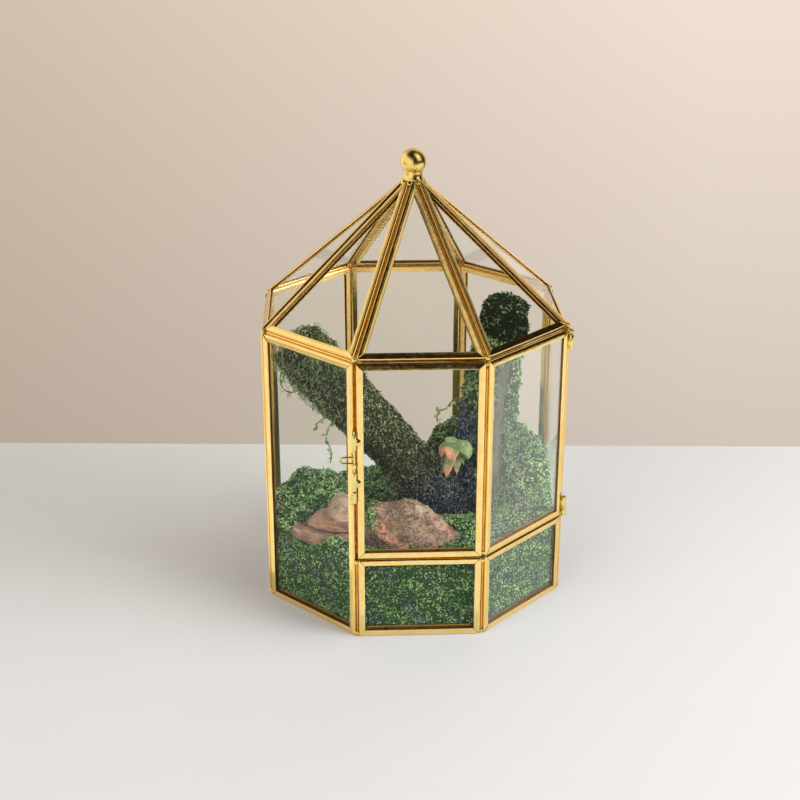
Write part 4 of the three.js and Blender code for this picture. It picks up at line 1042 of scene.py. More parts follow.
def stone_group():
    """Red-brown layered stone: thin bands by height that wander, a painted highlight
    that pales the highest tops, orange streaks of iron and dark pits, with a grain of
    fine sand. Light scales its colour, as painted light and shade, and Cracks draws
    dark and pale lines where a noise passes through 0.5."""
    group, place, given, end = new_group("stone_detail", ["Light", "Cracks"])
    cloud = noise_node(group, place, 130, 5, 0.65)
    flat_way = add_node(group, "Mapping", {"Vector": place, "Scale": (0.22, 0.22, 1)}).outputs[0]
    bands = noise_node(group, flat_way, 330, 4, 0.6)
    band = map_node(group, bands, 0.35, 0.65)
    color = mix_colors(group, band, (0.085, 0.038, 0.028, 1), (0.42, 0.255, 0.19, 1))
    patches = map_node(group, noise_node(group, place, 55, 4), 0.4, 0.65, 0.0, 0.6)
    color = mix_colors(group, patches, color, (0.24, 0.17, 0.13, 1))
    ochre = map_node(group, noise_node(group, place, 80, 4), 0.50, 0.62, 0.0, 0.45)
    color = mix_colors(group, ochre, color, (0.40, 0.26, 0.14, 1))
    iron = map_node(group, noise_node(group, flat_way, 120, 3), 0.56, 0.68, 0.0, 0.8)
    color = mix_colors(group, iron, color, (0.50, 0.20, 0.08, 1))
    # An orange vein slants down across the block, over a dark foot at its left.
    x, _, z = add_node(group, "SeparateXYZ", {0: place}).outputs
    over_vein = math_node(group, "SUBTRACT", z, product(group, x, -0.50))
    over_vein = math_node(group, "ADD", over_vein, map_node(group, cloud, 0.3, 0.7, -0.004, 0.004))
    from_vein = math_node(group, "ABSOLUTE", math_node(group, "SUBTRACT", over_vein, 0.0592))
    vein = product(
        group, map_node(group, from_vein, 0.0026, 0.0008), map_node(group, x, -0.006, -0.010),
        map_node(group, x, -0.040, -0.034), 0.85,
    )
    color = mix_colors(group, vein, color, (0.66, 0.27, 0.14, 1))
    foot = product(
        group, map_node(group, over_vein, 0.0575, 0.0545), map_node(group, x, -0.012, -0.020),
        map_node(group, x, -0.046, -0.042), 0.75,
    )
    color = mix_colors(group, foot, color, (0.075, 0.065, 0.06, 1))
    left_end = map_node(group, x, -0.012, -0.022)
    rust = product(group, left_end, map_node(group, over_vein, 0.061, 0.064), 0.5)
    color = mix_colors(group, rust, color, (0.20, 0.075, 0.05, 1))
    # A painted highlight: the highest tops, where the light falls, are paler.
    painted_top_highlight = map_node(group, z, 0.074, 0.085)
    painted_top_highlight = product(group, painted_top_highlight, map_node(group, cloud, 0.42, 0.6), 0.7)
    color = mix_colors(group, painted_top_highlight, color, (0.46, 0.40, 0.32, 1))
    sand = noise_node(group, place, 1500, 3, 0.7)
    color = mix_colors(group, map_node(group, sand, 0.30, 0.42), (0.05, 0.032, 0.024, 1), color)
    lichen = map_node(group, noise_node(group, place, 130, 4), 0.62, 0.72, 0.0, 0.5)
    color = mix_colors(group, lichen, color, (0.09, 0.11, 0.05, 1))
    lines = []
    for scale, reach in ((62, 0.020), (140, 0.026), (210, 0.022)):
        field = noise_node(group, place, scale, 5, 0.62)
        away = math_node(group, "ABSOLUTE", math_node(group, "SUBTRACT", field, 0.5))
        lines.append(map_node(group, away, reach, 0.25 * reach))
    pale_line = product(group, lines[2], given["Cracks"], 0.75)
    color = mix_colors(group, pale_line, color, (0.62, 0.47, 0.36, 1))
    both_cracks = math_node(group, "MAXIMUM", lines[0], product(group, lines[1], 0.8))
    open_crack = product(group, both_cracks, given["Cracks"])
    color = mix_colors(group, open_crack, color, (0.035, 0.024, 0.018, 1))
    rough = map_node(group, sand, 0.2, 0.8, 0.9, 0.7)
    height = math_node(group, "ADD", sand, product(group, bands, 1.6))
    height = math_node(group, "SUBTRACT", height, product(group, open_crack, 1.5))
    color = scaled(group, color, given["Light"])
    close_group(group, end, color, rough, height, 0.55, 0.0008)
    return group


stone_detail = stone_group()
# Light is painted light and shade: the slabs, shaded by the block, are painted lighter, and the block,
# in the key light, darker.
slab_stone = new_surface("stone_painted_lighter", stone_detail, {"Light": 0.95, "Cracks": 0.25})
block_stone = new_surface("stone_painted_darker", stone_detail, {"Light": 0.80, "Cracks": 0.9})
for i, (name, stone) in enumerate(STONES.items()):
    points, faces = stone_shape(stone, SEED + 20 + i)
    finish = block_stone if name == "stone_block" else slab_stone
    new_piece(name + "_broken", points, faces, "case", finish, "stone", [name], crease=SMOOTH)
block_points = points

# ---------------------------------------------------------------------------
# Moss bed. Soil and living moss, from the floor's came up to the sill line, with
# hills at the left, the right and the back, pressed flat against the glass.
# ---------------------------------------------------------------------------
BED_FLOOR = 4.3
MOSS_LIMIT = INNER_APOTHEM - 0.2  # no moss stands further out than this
HILLS = [  # x, y, rise and reach of each
    [-74, -12, 43, 30], [-108, -24, 19, 22], [-92, -74, -9, 22], [98, 22, 62, 35], [-64, -88, 5, 15],
    [96, -34, 8, 30], [32, 46, 66, 24], [74, 62, 38, 34],
]
bed_waves = seeded_waves(SEED + 3, 14)
lumps = seeded_waves(91, 7.5, 12)
crumbs = seeded_waves(92, 3.4, 14)
face_ways = np.stack([face_axes(k)[1][:2] for k in range(8)])


def fade(value, low, high):
    """Smooth step from 0 at low to 1 at high: 3 s^2 - 2 s^3."""
    s = np.clip((value - low) / (high - low), 0, 1)
    return s * s * (3 - 2 * s)


def bed_height(x, y):
    """Height of the moss: 63 mm in front falling to 37 mm at the back, plus hills
    rise exp(-(away / reach)^2.8) and slow lumps. Under a stone it stays below it."""
    height = 63 - 26 * fade(y, -55, 25)
    for hx, hy, rise, reach in HILLS:
        height = height + rise * np.exp(-((np.hypot(x - hx, y - hy) / reach) ** 2.8))
    flat = on_plan(x, y)
    height = height + 2.0 * bed_waves(flat) + 1.1 * lumps(flat)
    for stone in STONES.values():
        dx, dy = x - stone["middle"][0], y - stone["middle"][1]
        near = np.hypot(dx, dy) / stone_reach(stone, np.arctan2(dy, dx))
        under = np.minimum(height, stone["low"] - 0.4)
        height = under + (height - under) * fade(near, 0.97, 1.06)
    return height


def hold_in(points):
    """Points pulled in, square to each wall, to stay within MOSS_LIMIT of the middle."""
    points = points.copy()
    for normal in face_ways:
        over = np.maximum(points[..., :2] @ normal - MOSS_LIMIT, 0)
        points[..., :2] -= over[..., None] * normal
    return points


BED_COLUMNS = 480


def bed_grids():
    """The bed's top as eight-sided rings, its sides as rows from the top's rim down,
    and its flat underside."""
    angles = 2 * np.pi * np.arange(BED_COLUMNS) / BED_COLUMNS
    turned = (angles + np.pi / 2 + TURN / 2) % TURN - TURN / 2
    rim = (MOSS_LIMIT - 0.9) / np.cos(turned)
    scale = np.concatenate([[0.002], np.linspace(0.02, 1, 84)])
    radius = scale[:, None] * rim[None]
    x, y = radius * np.cos(angles), radius * np.sin(angles)
    z = bed_height(x, y) + 0.7 * crumbs(on_plan(x, y)) - 0.6
    top = np.stack([x, y, z], -1)
    down = np.linspace(0, 1, 30)[1:, None]
    z = z[-1][None] * (1 - down) + BED_FLOOR * down
    wall = np.stack([np.broadcast_to(x[-1], z.shape), np.broadcast_to(y[-1], z.shape), z], -1)
    press = 0.5 * crumbs(wall) + 0.5 * lumps(wall) - 0.3
    wall[..., :2] *= (1 + np.minimum(press, 0.6) / np.linalg.norm(wall[..., :2], axis=-1))[..., None]
    under = np.array([0.9, 0.5, 0.01])[:, None]
    ring = np.stack([x[-1] * under, y[-1] * under, np.full((3, BED_COLUMNS), BED_FLOOR)], -1)
    return top, hold_in(wall), ring


def moss_group():
    """Moss by each strand's own tone and how near its tip a point is: near-black
    green at the root, painted shade deep among the strands, and fresh yellow-green
    at the tip, in patches over the bed. Warm leads to dry straw colours, Blue to
    grey-blue tips over blue-black roots, painted shade in the fork of the wood and in
    shaded patches of the bed, and Light scales all."""
    inputs = ["Tone", "Tip", "Warm", "Light", "Blue"]
    group, place, given, end = new_group("moss_detail", inputs, ("Color", "Roughness"))
    patch = map_node(group, noise_node(group, place, 42, 3), 0.36, 0.66)
    fine = noise_node(group, place, 400, 3, 0.7)
    grain = map_node(group, fine, 0.3, 0.7, 0.6, 1.3)
    tone = math_node(group, "MINIMUM", product(group, given["Tone"], given["Tip"], grain), 1.0)
    fresh = mix_colors(group, patch, (0.205, 0.44, 0.155, 1), (0.43, 0.63, 0.25, 1))
    dry = mix_colors(group, patch, (0.38, 0.35, 0.19, 1), (0.62, 0.58, 0.34, 1))
    tips = mix_colors(group, given["Warm"], fresh, dry)
    tips = mix_colors(group, given["Blue"], tips, (0.21, 0.235, 0.28, 1))
    # The root colour is painted shade: near-black where the strands hide one another.
    roots = mix_colors(group, given["Warm"], (0.010, 0.032, 0.012, 1), (0.014, 0.014, 0.008, 1))
    roots = mix_colors(group, given["Blue"], roots, (0.014, 0.018, 0.050, 1))
    color = scaled(group, mix_colors(group, tone, roots, tips), given["Light"])
    group.links.new(color, end.inputs["Color"])
    group.links.new(map_node(group, fine, 0.2, 0.8, 0.95, 0.62), end.inputs["Roughness"])
    return group


def moss_material(name, warm, light):
    """Moss whose strands carry tone, tip and blue; warm runs from fresh to dry and
    light from shaded to bright."""
    values = {"Tone": "tone", "Tip": "tip", "Warm": warm, "Light": light, "Blue": "blue"}
    return new_surface(name, moss_detail, values, {"Specular IOR Level": 0.02})


moss_detail = moss_group()
bed_moss = moss_material("bed_moss", 0.08, 1.2)


def scatter(grid, count, rng, closed=True, weight=None):
    """count random places on a grid's surface, even by area, or by area times
    weight, a number for each point of the grid. Returns the places, the outward
    directions and the way along the columns, both of length 1."""
    if closed:
        grid = np.concatenate([grid, grid[:, :1]], axis=1)
        if weight is not None:
            weight = np.concatenate([weight, weight[:, :1]], axis=1)
    a, b, c, d = grid[:-1, :-1], grid[:-1, 1:], grid[1:, 1:], grid[1:, :-1]
    across = np.cross(c - a, d - b)
    area = np.linalg.norm(across, axis=-1)
    share = area if weight is None else area * weight[:-1, :-1]
    total = np.cumsum(share.ravel())
    spread = (np.arange(count) + rng.uniform(0, 1, count)) / count
    pick = np.searchsorted(total, rng.permutation(spread) * total[-1])
    i, j = np.unravel_index(np.minimum(pick, area.size - 1), area.shape)
    s, t = rng.uniform(0, 1, (2, count, 1))
    places = (1 - s) * ((1 - t) * a[i, j] + t * b[i, j]) + s * ((1 - t) * d[i, j] + t * c[i, j])
    return places, unit(across[i, j]), unit(d[i, j] - a[i, j])


SPINDLE_RINGS = ((0.4, 1.0), (0.75, 0.72))  # each one's place and share of the width
SPINDLE_TIPS = [0.0, 0.45, 0.45, 0.45, 0.9, 0.9, 0.9, 1.0]  # how near the tip each point is


def strands(roots, ways, bends, lengths, widths, curl, tones, blue_shades):
    """Moss strands, each a closed three-sided spindle. Its middle runs from the root
    by length / curl (way sin(curl s) + bend (1 - cos(curl s))), s from 0 to 1."""
    ways = unit(ways)
    bends = unit(bends - ways * (bends * ways).sum(1, keepdims=True))
    across = np.cross(ways, bends)
    step = (lengths / curl)[:, None]

    def middle(s):
        return roots + step * (ways * np.sin(curl * s) + bends * (1 - np.cos(curl * s)))

    rows = [middle(0.0)]
    for s, share in SPINDLE_RINGS:
        centre = middle(s)
        heading = ways * np.cos(curl * s) + bends * np.sin(curl * s)
        over = np.cross(across, heading)
        for angle in (0.3, 0.3 + 2 * np.pi / 3, 0.3 + 4 * np.pi / 3):
            half = (widths * share / 2)[:, None]
            rows.append(centre + half * (np.cos(angle) * across + np.sin(angle) * over))
    rows.append(middle(1.0))
    points = hold_in(np.stack(rows, 1))
    n = len(roots)
    base = 8 * np.arange(n)[:, None, None]
    quads = np.array([[1, 2, 5, 4], [2, 3, 6, 5], [3, 1, 4, 6]])[:, ::-1]
    triangles = np.array([[0, 2, 1], [0, 3, 2], [0, 1, 3], [7, 4, 5], [7, 5, 6], [7, 6, 4]])[:, ::-1]
    faces = [(base + quads).reshape(-1, 4), (base + triangles).reshape(-1, 3)]
    tip = np.tile(SPINDLE_TIPS, n)
    values = {"tone": np.repeat(tones, 8), "tip": tip, "blue": np.repeat(blue_shades, 8)}
    return points.reshape(-1, 3), faces, values


STRAND_LIMIT = 16000  # strands in one piece


def strand_pieces(name, shape, curl, tones, blue_shades, finish, slot):
    """Strands shared out over as many pieces as their number needs. shape holds
    their roots, ways, bends, lengths and widths."""
    for n, start in enumerate(range(0, len(tones), STRAND_LIMIT)):
        part = slice(start, start + STRAND_LIMIT)
        own = [numbers[part] for numbers in shape]
        points, faces, values = strands(*own, curl, tones[part], blue_shades[part])
        new_piece(f"{name}_{n + 1}", points, faces, "case", finish, slot, (), values, SMOOTH)


def tufts(places, heading, each, spread, size, width, rng, droop=0.25):
    """each strands from every place, fanned out evenly round its heading by spread,
    with size and width as (least, most). Returns what strand_pieces() takes as a
    shape, and which tuft each strand belongs to."""
    count = len(places)
    heading = unit(heading)
    across = unit(np.cross(heading, rng.normal(0, 1, (count, 3))))
    over = np.cross(heading, across)
    which = np.repeat(np.arange(count), each)
    total = count * each
    turn = 2 * np.pi * (np.tile(np.arange(each), count) / each + rng.uniform(0, 0.12, total))[:, None]
    fan = np.cos(turn) * across[which] + np.sin(turn) * over[which]
    open_by = (spread * rng.uniform(0.35, 1.25, total))[:, None]
    ways = heading[which] + open_by * fan
    bends = fan * 0.5 + rng.normal(0, 0.4, (total, 3)) + [0, 0, -droop]
    roots = places[which] + 0.35 * fan
    lengths = rng.uniform(*size, total)
    widths = rng.uniform(*width, total)
    return (roots, ways, bends, lengths, widths), which


def ground_piece(name, grid, finish, slot, stands_for):
    """The surface under the strands, a closed grid, as one piece, painted near-black as the shade deep
    among them.
    """
    points, faces = closed_grid(grid)
    ones = np.ones(len(points))
    values = {"tone": 0.05 * ones, "tip": 0.5 * ones, "blue": 0 * ones}
    new_piece(name, points, faces, "case", finish, slot, [stands_for], values, SMOOTH)


def tuft_tones(places, which, rng, dark, bright, share):
    """Each strand's tone: share of the strands, and more of them on the clumps, are
    bright and the rest dark. A tuft's strands tend to go together."""
    lift = 0.5 + 0.5 * clumps(places)
    draw = 0.45 * rng.uniform(0, 1, len(places))[which] + 0.55 * rng.uniform(0, 1, len(which))
    tone = np.where(draw < share * (0.5 + lift[which]), bright, dark) * (0.75 + 0.35 * lift[which])
    return np.clip(tone * rng.uniform(0.55, 1.35, len(which)), 0.01, 1.2)


top, wall, ring = bed_grids()
# Every second column is enough for the ground, which the tufts hide.
whole = np.concatenate([ring[::-1], wall[::-1], top[::-1][1:]])[:, ::2]
ground_piece("moss_bed_ground", whole, bed_moss, "floor_moss", "moss_bed")

clumps = seeded_waves(93, 8, 14)
shade_patches = seeded_waves(94, 24, 10)

rng = np.random.default_rng(SEED)
places, normal, _ = scatter(top, 5600, rng)
upright = np.where(normal[:, 2:] < 0, -normal, normal)
places = places + upright * (0.8 * clumps(places))[:, None]
shape, which = tufts(places, upright, 6, 1.0, (2.4, 4.6), (0.95, 1.65), rng)
tones = tuft_tones(places, which, rng, 0.22, 1.0, 0.50)
# Blue-black roots in the shade patches: painted shade.
blue_shades = np.clip(shade_patches(places) * 0.7, 0, 0.5)[which]
strand_pieces("moss_bed_tuft", shape, 1.3, tones, blue_shades, bed_moss, "floor_moss")

# A little moss has spread onto the block's left end.
rng = np.random.default_rng(SEED + 7)
edge_places = block_points[(block_points[:, 0] < -33) & (block_points[:, 2] > 74)]
places = edge_places[rng.integers(0, len(edge_places), 90)]
heading = np.tile([-0.2, -0.5, 0.8], (len(places), 1))
shape, which = tufts(places, heading, 5, 1.0, (1.8, 3.4), (0.9, 1.5), rng)
tones = tuft_tones(places, which, rng, 0.2, 0.9, 0.45)
strand_pieces("stone_moss_tuft", shape, 1.3, tones, 0 * tones, bed_moss, "floor_moss")

# Against the glass the tufts lie flat, fanned out in the wall's plane.
side_moss = moss_material("pressed_moss", 0.06, 1.15)
rng = np.random.default_rng(SEED + 1)
places, _, _ = scatter(wall, 6400, rng, weight=fade(wall[..., 2], 5, 10))
outward = unit(places * [1, 1, 0])
places[:, 2] = np.maximum(places[:, 2], 9.0)
places = places - outward * rng.uniform(0, 1.4, (len(places), 1))
heading = 0.5 * outward + [0, 0, 0.35]
shape, which = tufts(places, heading, 5, 1.5, (2.0, 4.2), (0.95, 1.6), rng, 0.0)
tones = tuft_tones(places, which, rng, 0.18, 1.0, 0.46)
# Blue-black roots in the shade patches: painted shade.
blue_shades = np.clip(shade_patches(places) * 0.9, 0, 0.55)[which]
strand_pieces("moss_bed_side", shape, 1.2, tones, blue_shades, side_moss, "floor_moss")

# ---------------------------------------------------------------------------
# Moss mats. Hairy moss wraps the branch all round, the trunk but for a bare strip
# in front, and the trunk's top as a dark leafy crown.
# ---------------------------------------------------------------------------
mat_waves = seeded_waves(SEED + 1, 9)
mat_clumps = seeded_waves(95, 7, 12)


def mat_radius(limb, thickness, swell):
    """The mat's base: the wood's radius plus thickness, swell, 1.6 mm of slow
    relief and 1.5 mm of small clumps."""
    wood = wood_radius(limb, 0.4)
    def radius_at(probe, t, angle):
        plain = wood(probe, t, angle) + thickness + swell(t, angle)
        return plain + 1.6 * mat_waves(probe) + 1.5 * mat_clumps(probe)
    return radius_at


def trunk_swell(t, angle):
    """3 mm more on the trunk's right, most at its middle height."""
    return 3.0 * np.maximum(0, -np.cos(angle)) * np.sin(np.pi * np.minimum(t * 1.15, 1)) ** 2


def branch_swell(t, angle):
    """3 mm more on the outer half of the branch, where the moss hangs loose, and up
    to 2 mm less at its middle, the same all round."""
    return 3.0 * fade(t, 0.6, 0.85) - 2.0 * fade(t, 0.2, 0.4) * fade(-t, -0.65, -0.5)


def crown_swell(t, angle):
    """1.5 mm more low down on the crown's right."""
    return 1.5 * np.maximum(0, -np.cos(angle)) * fade(1 - t, 0, 0.12)


def above_bed(places):
    """1 for places above the bed's surface and 0 for those buried in it."""
    return fade(places[..., 2] - bed_height(places[..., 0], places[..., 1]), -3, 1)


def sock(slot, limb, start, rows, thickness, finish, swell):
    """A mat all round a limb from start to its rounded end. Its skin runs up inside
    against the wood and down outside, with every second column of the grids, which
    is enough under the strands. Returns the outer grid."""
    reach = limb["end"] + 0.4
    mat = mat_radius(limb, thickness, swell)
    outer = limb_shell(limb, start, rows, 120, mat, reach + thickness)
    inner = limb_shell(limb, start, rows, 120, wood_radius(limb, 0.2), reach)
    skin = np.concatenate([inner[::-1], outer])[:, ::2]
    ground_piece(slot + "_mat", skin, finish, slot, slot)
    return outer


branch_moss = moss_material("branch_moss", 0.72, 1.05)
trunk_moss = moss_material("trunk_moss", 0.22, 1.2)
crown_moss = moss_material("crown_moss", 0.38, 0.56)

branch_grid = sock("branch_moss", BRANCH, 0.04, 100, 1.8, branch_moss, branch_swell)
rng = np.random.default_rng(SEED + 2)
places, normal, along = scatter(branch_grid, 9600, rng, weight=above_bed(branch_grid) + 0.02)
lean = normal * 0.8 + along * rng.normal(0.2, 0.7, (len(places), 1))
shape, which = tufts(places, lean, 3, 1.3, (2.2, 5.2), (0.6, 1.05), rng, 0.6)
tones = tuft_tones(places, which, rng, 0.12, 1.0, 0.40)
# Painted light and shade: strands on the branch's upper side are lighter and those under it darker, in
# patches, and lighter toward its foot.
lit = 0.78 + 0.6 * np.clip(normal[:, 2], -0.7, 1) + 0.2 * shade_patches(places)
lit = lit + 0.3 * fade(places[:, 0], -25, 18)
tones = np.clip(tones * lit[which], 0.02, 1.2)
# Blue-black roots about the fork: painted shade.
blue_shades = (fade(places[:, 0], -25, 18) * fade(-places[:, 2], -118, -60))[which]
strand_pieces("branch_moss_hair", shape, 2.5, tones, blue_shades, branch_moss, "branch_moss")

# Loose green threads curl out of the outer end of the branch.
creeper_leaf = moss_material("creeper_leaf", 0.25, 0.9)
rng = np.random.default_rng(SEED + 6)
outer_end = fade(-branch_grid[..., 0], 48, 88) * fade(branch_grid[..., 2], 130, 160)
places, normal, along = scatter(branch_grid, 420, rng, weight=outer_end + 1e-6)
lean = normal + 0.5 * rng.normal(0, 1, normal.shape)
shape, which = tufts(places, lean, 2, 0.9, (8.0, 18.0), (0.6, 1.0), rng, 0.8)
tones = rng.uniform(0.5, 1.0, len(which))
strand_pieces("branch_moss_thread", shape, 3.2, tones, 0 * tones, creeper_leaf, "branch_moss")

# The trunk's mat leaves a bare strip from its front to its right edge.
girth = np.linspace(2.4, 7.95, 110)
levels = np.linspace(0.13, 0.79, 90)
still = np.zeros(len(levels))
outer = limb_grid(TRUNK, levels, still, girth, mat_radius(TRUNK, 1.6, trunk_swell))
inner = limb_grid(TRUNK, levels, still, girth, wood_radius(TRUNK, 0.2))


def tapered(count, steps):
    """count shares that rise as a square root from 0 to 1 over steps at each end."""
    from_end = np.minimum(np.arange(count), np.arange(count)[::-1])
    return np.minimum(1, from_end / steps) ** 0.5


thinned = tapered(len(girth), 7.0)[None] * tapered(len(levels), 5.0)[:, None]
trunk_grid = inner + (outer - inner) * thinned[..., None]
skin = np.concatenate([trunk_grid, inner[:, ::-1]], axis=1)
ground_piece("trunk_moss_mat", skin, trunk_moss, "trunk_moss", "trunk_moss")
rng = np.random.default_rng(SEED + 3)
places, normal, along = scatter(trunk_grid, 3600, rng, closed=False, weight=above_bed(trunk_grid) + 0.02)
lean = normal + along * rng.normal(0.25, 0.4, (len(places), 1))
shape, which = tufts(places, lean, 5, 1.0, (2.4, 4.8), (0.9, 1.5), rng, 0.6)
tones = tuft_tones(places, which, rng, 0.12, 1.0, 0.42)
# Blue-black roots low on the trunk's left, about the fork: painted shade.
blue_shades = (fade(-places[:, 0], -60, -46) * fade(-places[:, 2], -165, -120))[which]
strand_pieces("trunk_moss_tuft", shape, 1.5, tones, blue_shades, trunk_moss, "trunk_moss")

crown_grid = sock("crown_moss", TRUNK, 0.8, 36, 0.5, crown_moss, crown_swell)
rng = np.random.default_rng(SEED + 4)
places, normal, _ = scatter(crown_grid, 1700, rng)
places = places + (1.4 * clumps(places))[:, None] * normal
shape, which = tufts(places, normal, 5, 1.2, (2.0, 5.6), (1.1, 2.0), rng, 0.5)
tones = tuft_tones(places, which, rng, 0.01, 1.5, 0.22)
strand_pieces("crown_moss_leaf", shape, 1.2, tones, 0 * tones, crown_moss, "crown_moss")

# ---------------------------------------------------------------------------
# Creepers. Thin stems with small pointed leaves that hang from the branch and
# from the trunk's left.
# ---------------------------------------------------------------------------
LEAF_DROOP = 0.6


def leaf_blades(roots, ways, length, width, rng):
    """Small leaves, each a closed blade of 7 rings of 6 points. Half its width is
    width / 2 sin(pi s^0.8), it is 0.3 mm thick, and it bends down by LEAF_DROOP s."""
    count = len(roots)
    s = np.linspace(0.0, 1.0, 7)
    ways = unit(ways)
    across = np.cross(ways, [0, 0, 1.0]) + rng.normal(0, 0.25, (count, 3))
    across = unit(across - ways * (across * ways).sum(1, keepdims=True))
    over = np.cross(across, ways)
    size = (length * rng.uniform(0.7, 1.25, count))[:, None]
    ahead = ways[:, None] * np.sin(LEAF_DROOP * s)[:, None]
    down = over[:, None] * (1 - np.cos(LEAF_DROOP * s))[:, None]
    middle = roots[:, None] + size[:, None] * (ahead - down) / LEAF_DROOP
    half = width / 2 * (np.sin(np.pi * np.clip(s, 0.03, 0.97) ** 0.8)) * size / length
    turn = 2 * np.pi * np.arange(6) / 6
    flat = half[:, :, None, None] * np.cos(turn)[:, None] * across[:, None, None]
    fold = 0.22 * half[:, :, None, None] * np.abs(np.cos(turn))[:, None] * over[:, None, None]
    thick = 0.16 * np.sin(turn)[:, None] * over[:, None, None]
    points = (middle[:, :, None] + flat + fold + thick).reshape(-1, 3)
    base = 42 * np.arange(count)[:, None, None]
    quads = (base + grid_faces(7, 6)[None]).reshape(-1, 4)
    caps = np.array([[0, 5, 4, 3], [0, 3, 2, 1], [36, 37, 38, 39], [36, 39, 40, 41]])
    tone = np.repeat(rng.uniform(0.45, 1, count), 42)
    return points, [quads, (base + caps).reshape(-1, 4)], tone


BRANCH_CREEPERS = [  # the path of each vine and its number of leaves
    ([[-96, -10, 190], [-105, -17, 180], [-104, -19, 170], [-98, -18, 165], [-88, -12, 165]], 16),
    ([[-60, -10, 142], [-67, -17, 134], [-70, -18, 124], [-66, -18, 113], [-67, -17, 102]], 16),
    ([[-62, -12, 141], [-69, -17, 142], [-76, -19, 139], [-79, -19, 132]], 11),
]
TRUNK_CREEPERS = [([[48, 4, 149], [34, 0, 149], [27, -2, 142], [21, -2, 139], [20, -2, 130]], 13)]


def creeper_piece(name, vines, seed, finish, slot):
    """Creeper stems swept along their curves, with leaves turned out all round."""
    rng = np.random.default_rng(seed)
    parts, tones, tips = [], [], []
    for path, leaves in vines:
        stem = sweep(curve_at(path, np.linspace(0, 1, 40)), np.linspace(0.62, 0.4, 40), 8)
        parts.append(stem)
        tones.append(np.full(len(stem[0]), 0.45))
        tips.append(np.full(len(stem[0]), 0.5))
        t = (np.arange(leaves) + 0.8) / leaves
        roots = curve_at(path, t)
        ahead = unit(curve_at(path, t + 0.01) - curve_at(path, t - 0.01))
        ways = rng.normal(0, 1, (leaves, 3)) + 0.5 * ahead + [0, -0.3, 0.1]
        points, faces, tone = leaf_blades(roots, ways, 4.8, 3.0, rng)
        parts.append((points, faces))
        tones.append(tone)
        tips.append(np.full(len(points), 0.95))
    points, faces = joined(parts)
    values = {"tone": np.concatenate(tones), "tip": np.concatenate(tips)}
    values["blue"] = np.zeros(len(points))
    new_piece(name, hold_in(points), faces, "case", finish, slot, (), values, SMOOTH)


creeper_piece("branch_creepers", BRANCH_CREEPERS, 701, creeper_leaf, "branch_moss")
creeper_piece("trunk_creeper", TRUNK_CREEPERS, 702, creeper_leaf, "trunk_moss")

# ---------------------------------------------------------------------------
# Succulent. Thick drooping boat-shaped leaves on one short stem, green above and
# flushed salmon pink below and at their tips.
# ---------------------------------------------------------------------------
CROWN_AT = np.array([33.0, -22.0, 117.0])
ROOT_AT = np.array([24.0, -12.0, 90.0])
# yaw, lift, droop, length, width, depth, how pink
SUCCULENT_LEAVES = [
    (3.35, 0.75, 2.9, 19, 13, 11, 0.95), (4.45, 0.85, 2.9, 20, 14, 12, 1.2),
    (5.7, 0.8, 3.0, 22, 18, 14, 0.15), (4.15, -0.6, 0.9, 27, 10.5, 8, 0.85),
    (4.85, -0.75, 0.7, 23, 9, 7, 0.6), (5.5, -0.5, 0.9, 17, 9, 7, 0.35),
    (2.2, 1.1, 1.6, 13, 12, 8, 0.1), (0.4, 0.8, 2.1, 14, 14, 9, 0.1), (4.9, 1.25, 2.2, 13, 15, 10, 0.0),
]


def succulent_leaf(yaw, lift, droop, length, width, depth, pink):
    """One leaf: rings along an arc that starts at lift and bends down by droop. Half
    its width is width / 2 sin(pi (0.16 + 0.86 t^0.8))^0.75, and it is keeled below
    and nearly flat above."""
    steps = 60
    t = np.linspace(0, 1, steps)
    level = np.array([np.cos(yaw), np.sin(yaw), 0.0])
    across = np.array([-np.sin(yaw), np.cos(yaw), 0.0])
    up = np.array([0, 0, 1.0])
    pitch = (lift - droop * t)[:, None]
    along = level * np.cos(pitch) + up * np.sin(pitch)
    over = up * np.cos(pitch) - level * np.sin(pitch)
    travelled = np.concatenate([[[0, 0, 0]], np.cumsum(along[1:], 0)]) * length / (steps - 1)
    middle = CROWN_AT + level * 0.4 + travelled
    swell = np.sin(np.pi * np.minimum(0.998, 0.16 + 0.86 * t**0.8)) ** 0.75
    half = np.maximum(0.25, width / 2 * swell)[:, None, None]
    thick = np.maximum(0.25, depth / 2 * swell**0.8)[:, None, None]
    turn = 2 * np.pi * np.arange(36) / 36
    c, s = np.cos(turn), np.sin(turn)
    keel = np.where(s < 0, -1.2 * s * s, 0.55 * s - 0.25 * s * (1 - np.abs(c)))
    grid = middle[:, None] + half * c[:, None] * across + thick * keel[:, None] * over[:, None]
    points, faces = closed_grid(grid)
    blush = pink * (0.25 + 0.75 * fade(t, 0.25, 0.95))[:, None] * (0.45 + 0.55 * (s < 0.2))[None]
    edge = 0.35 * pink * (np.abs(c) ** 10)[None] * np.ones((steps, 1))
    blush = np.clip(blush + edge, 0, 1).ravel()
    return points, faces, np.append(blush, blush[[0, -1]])


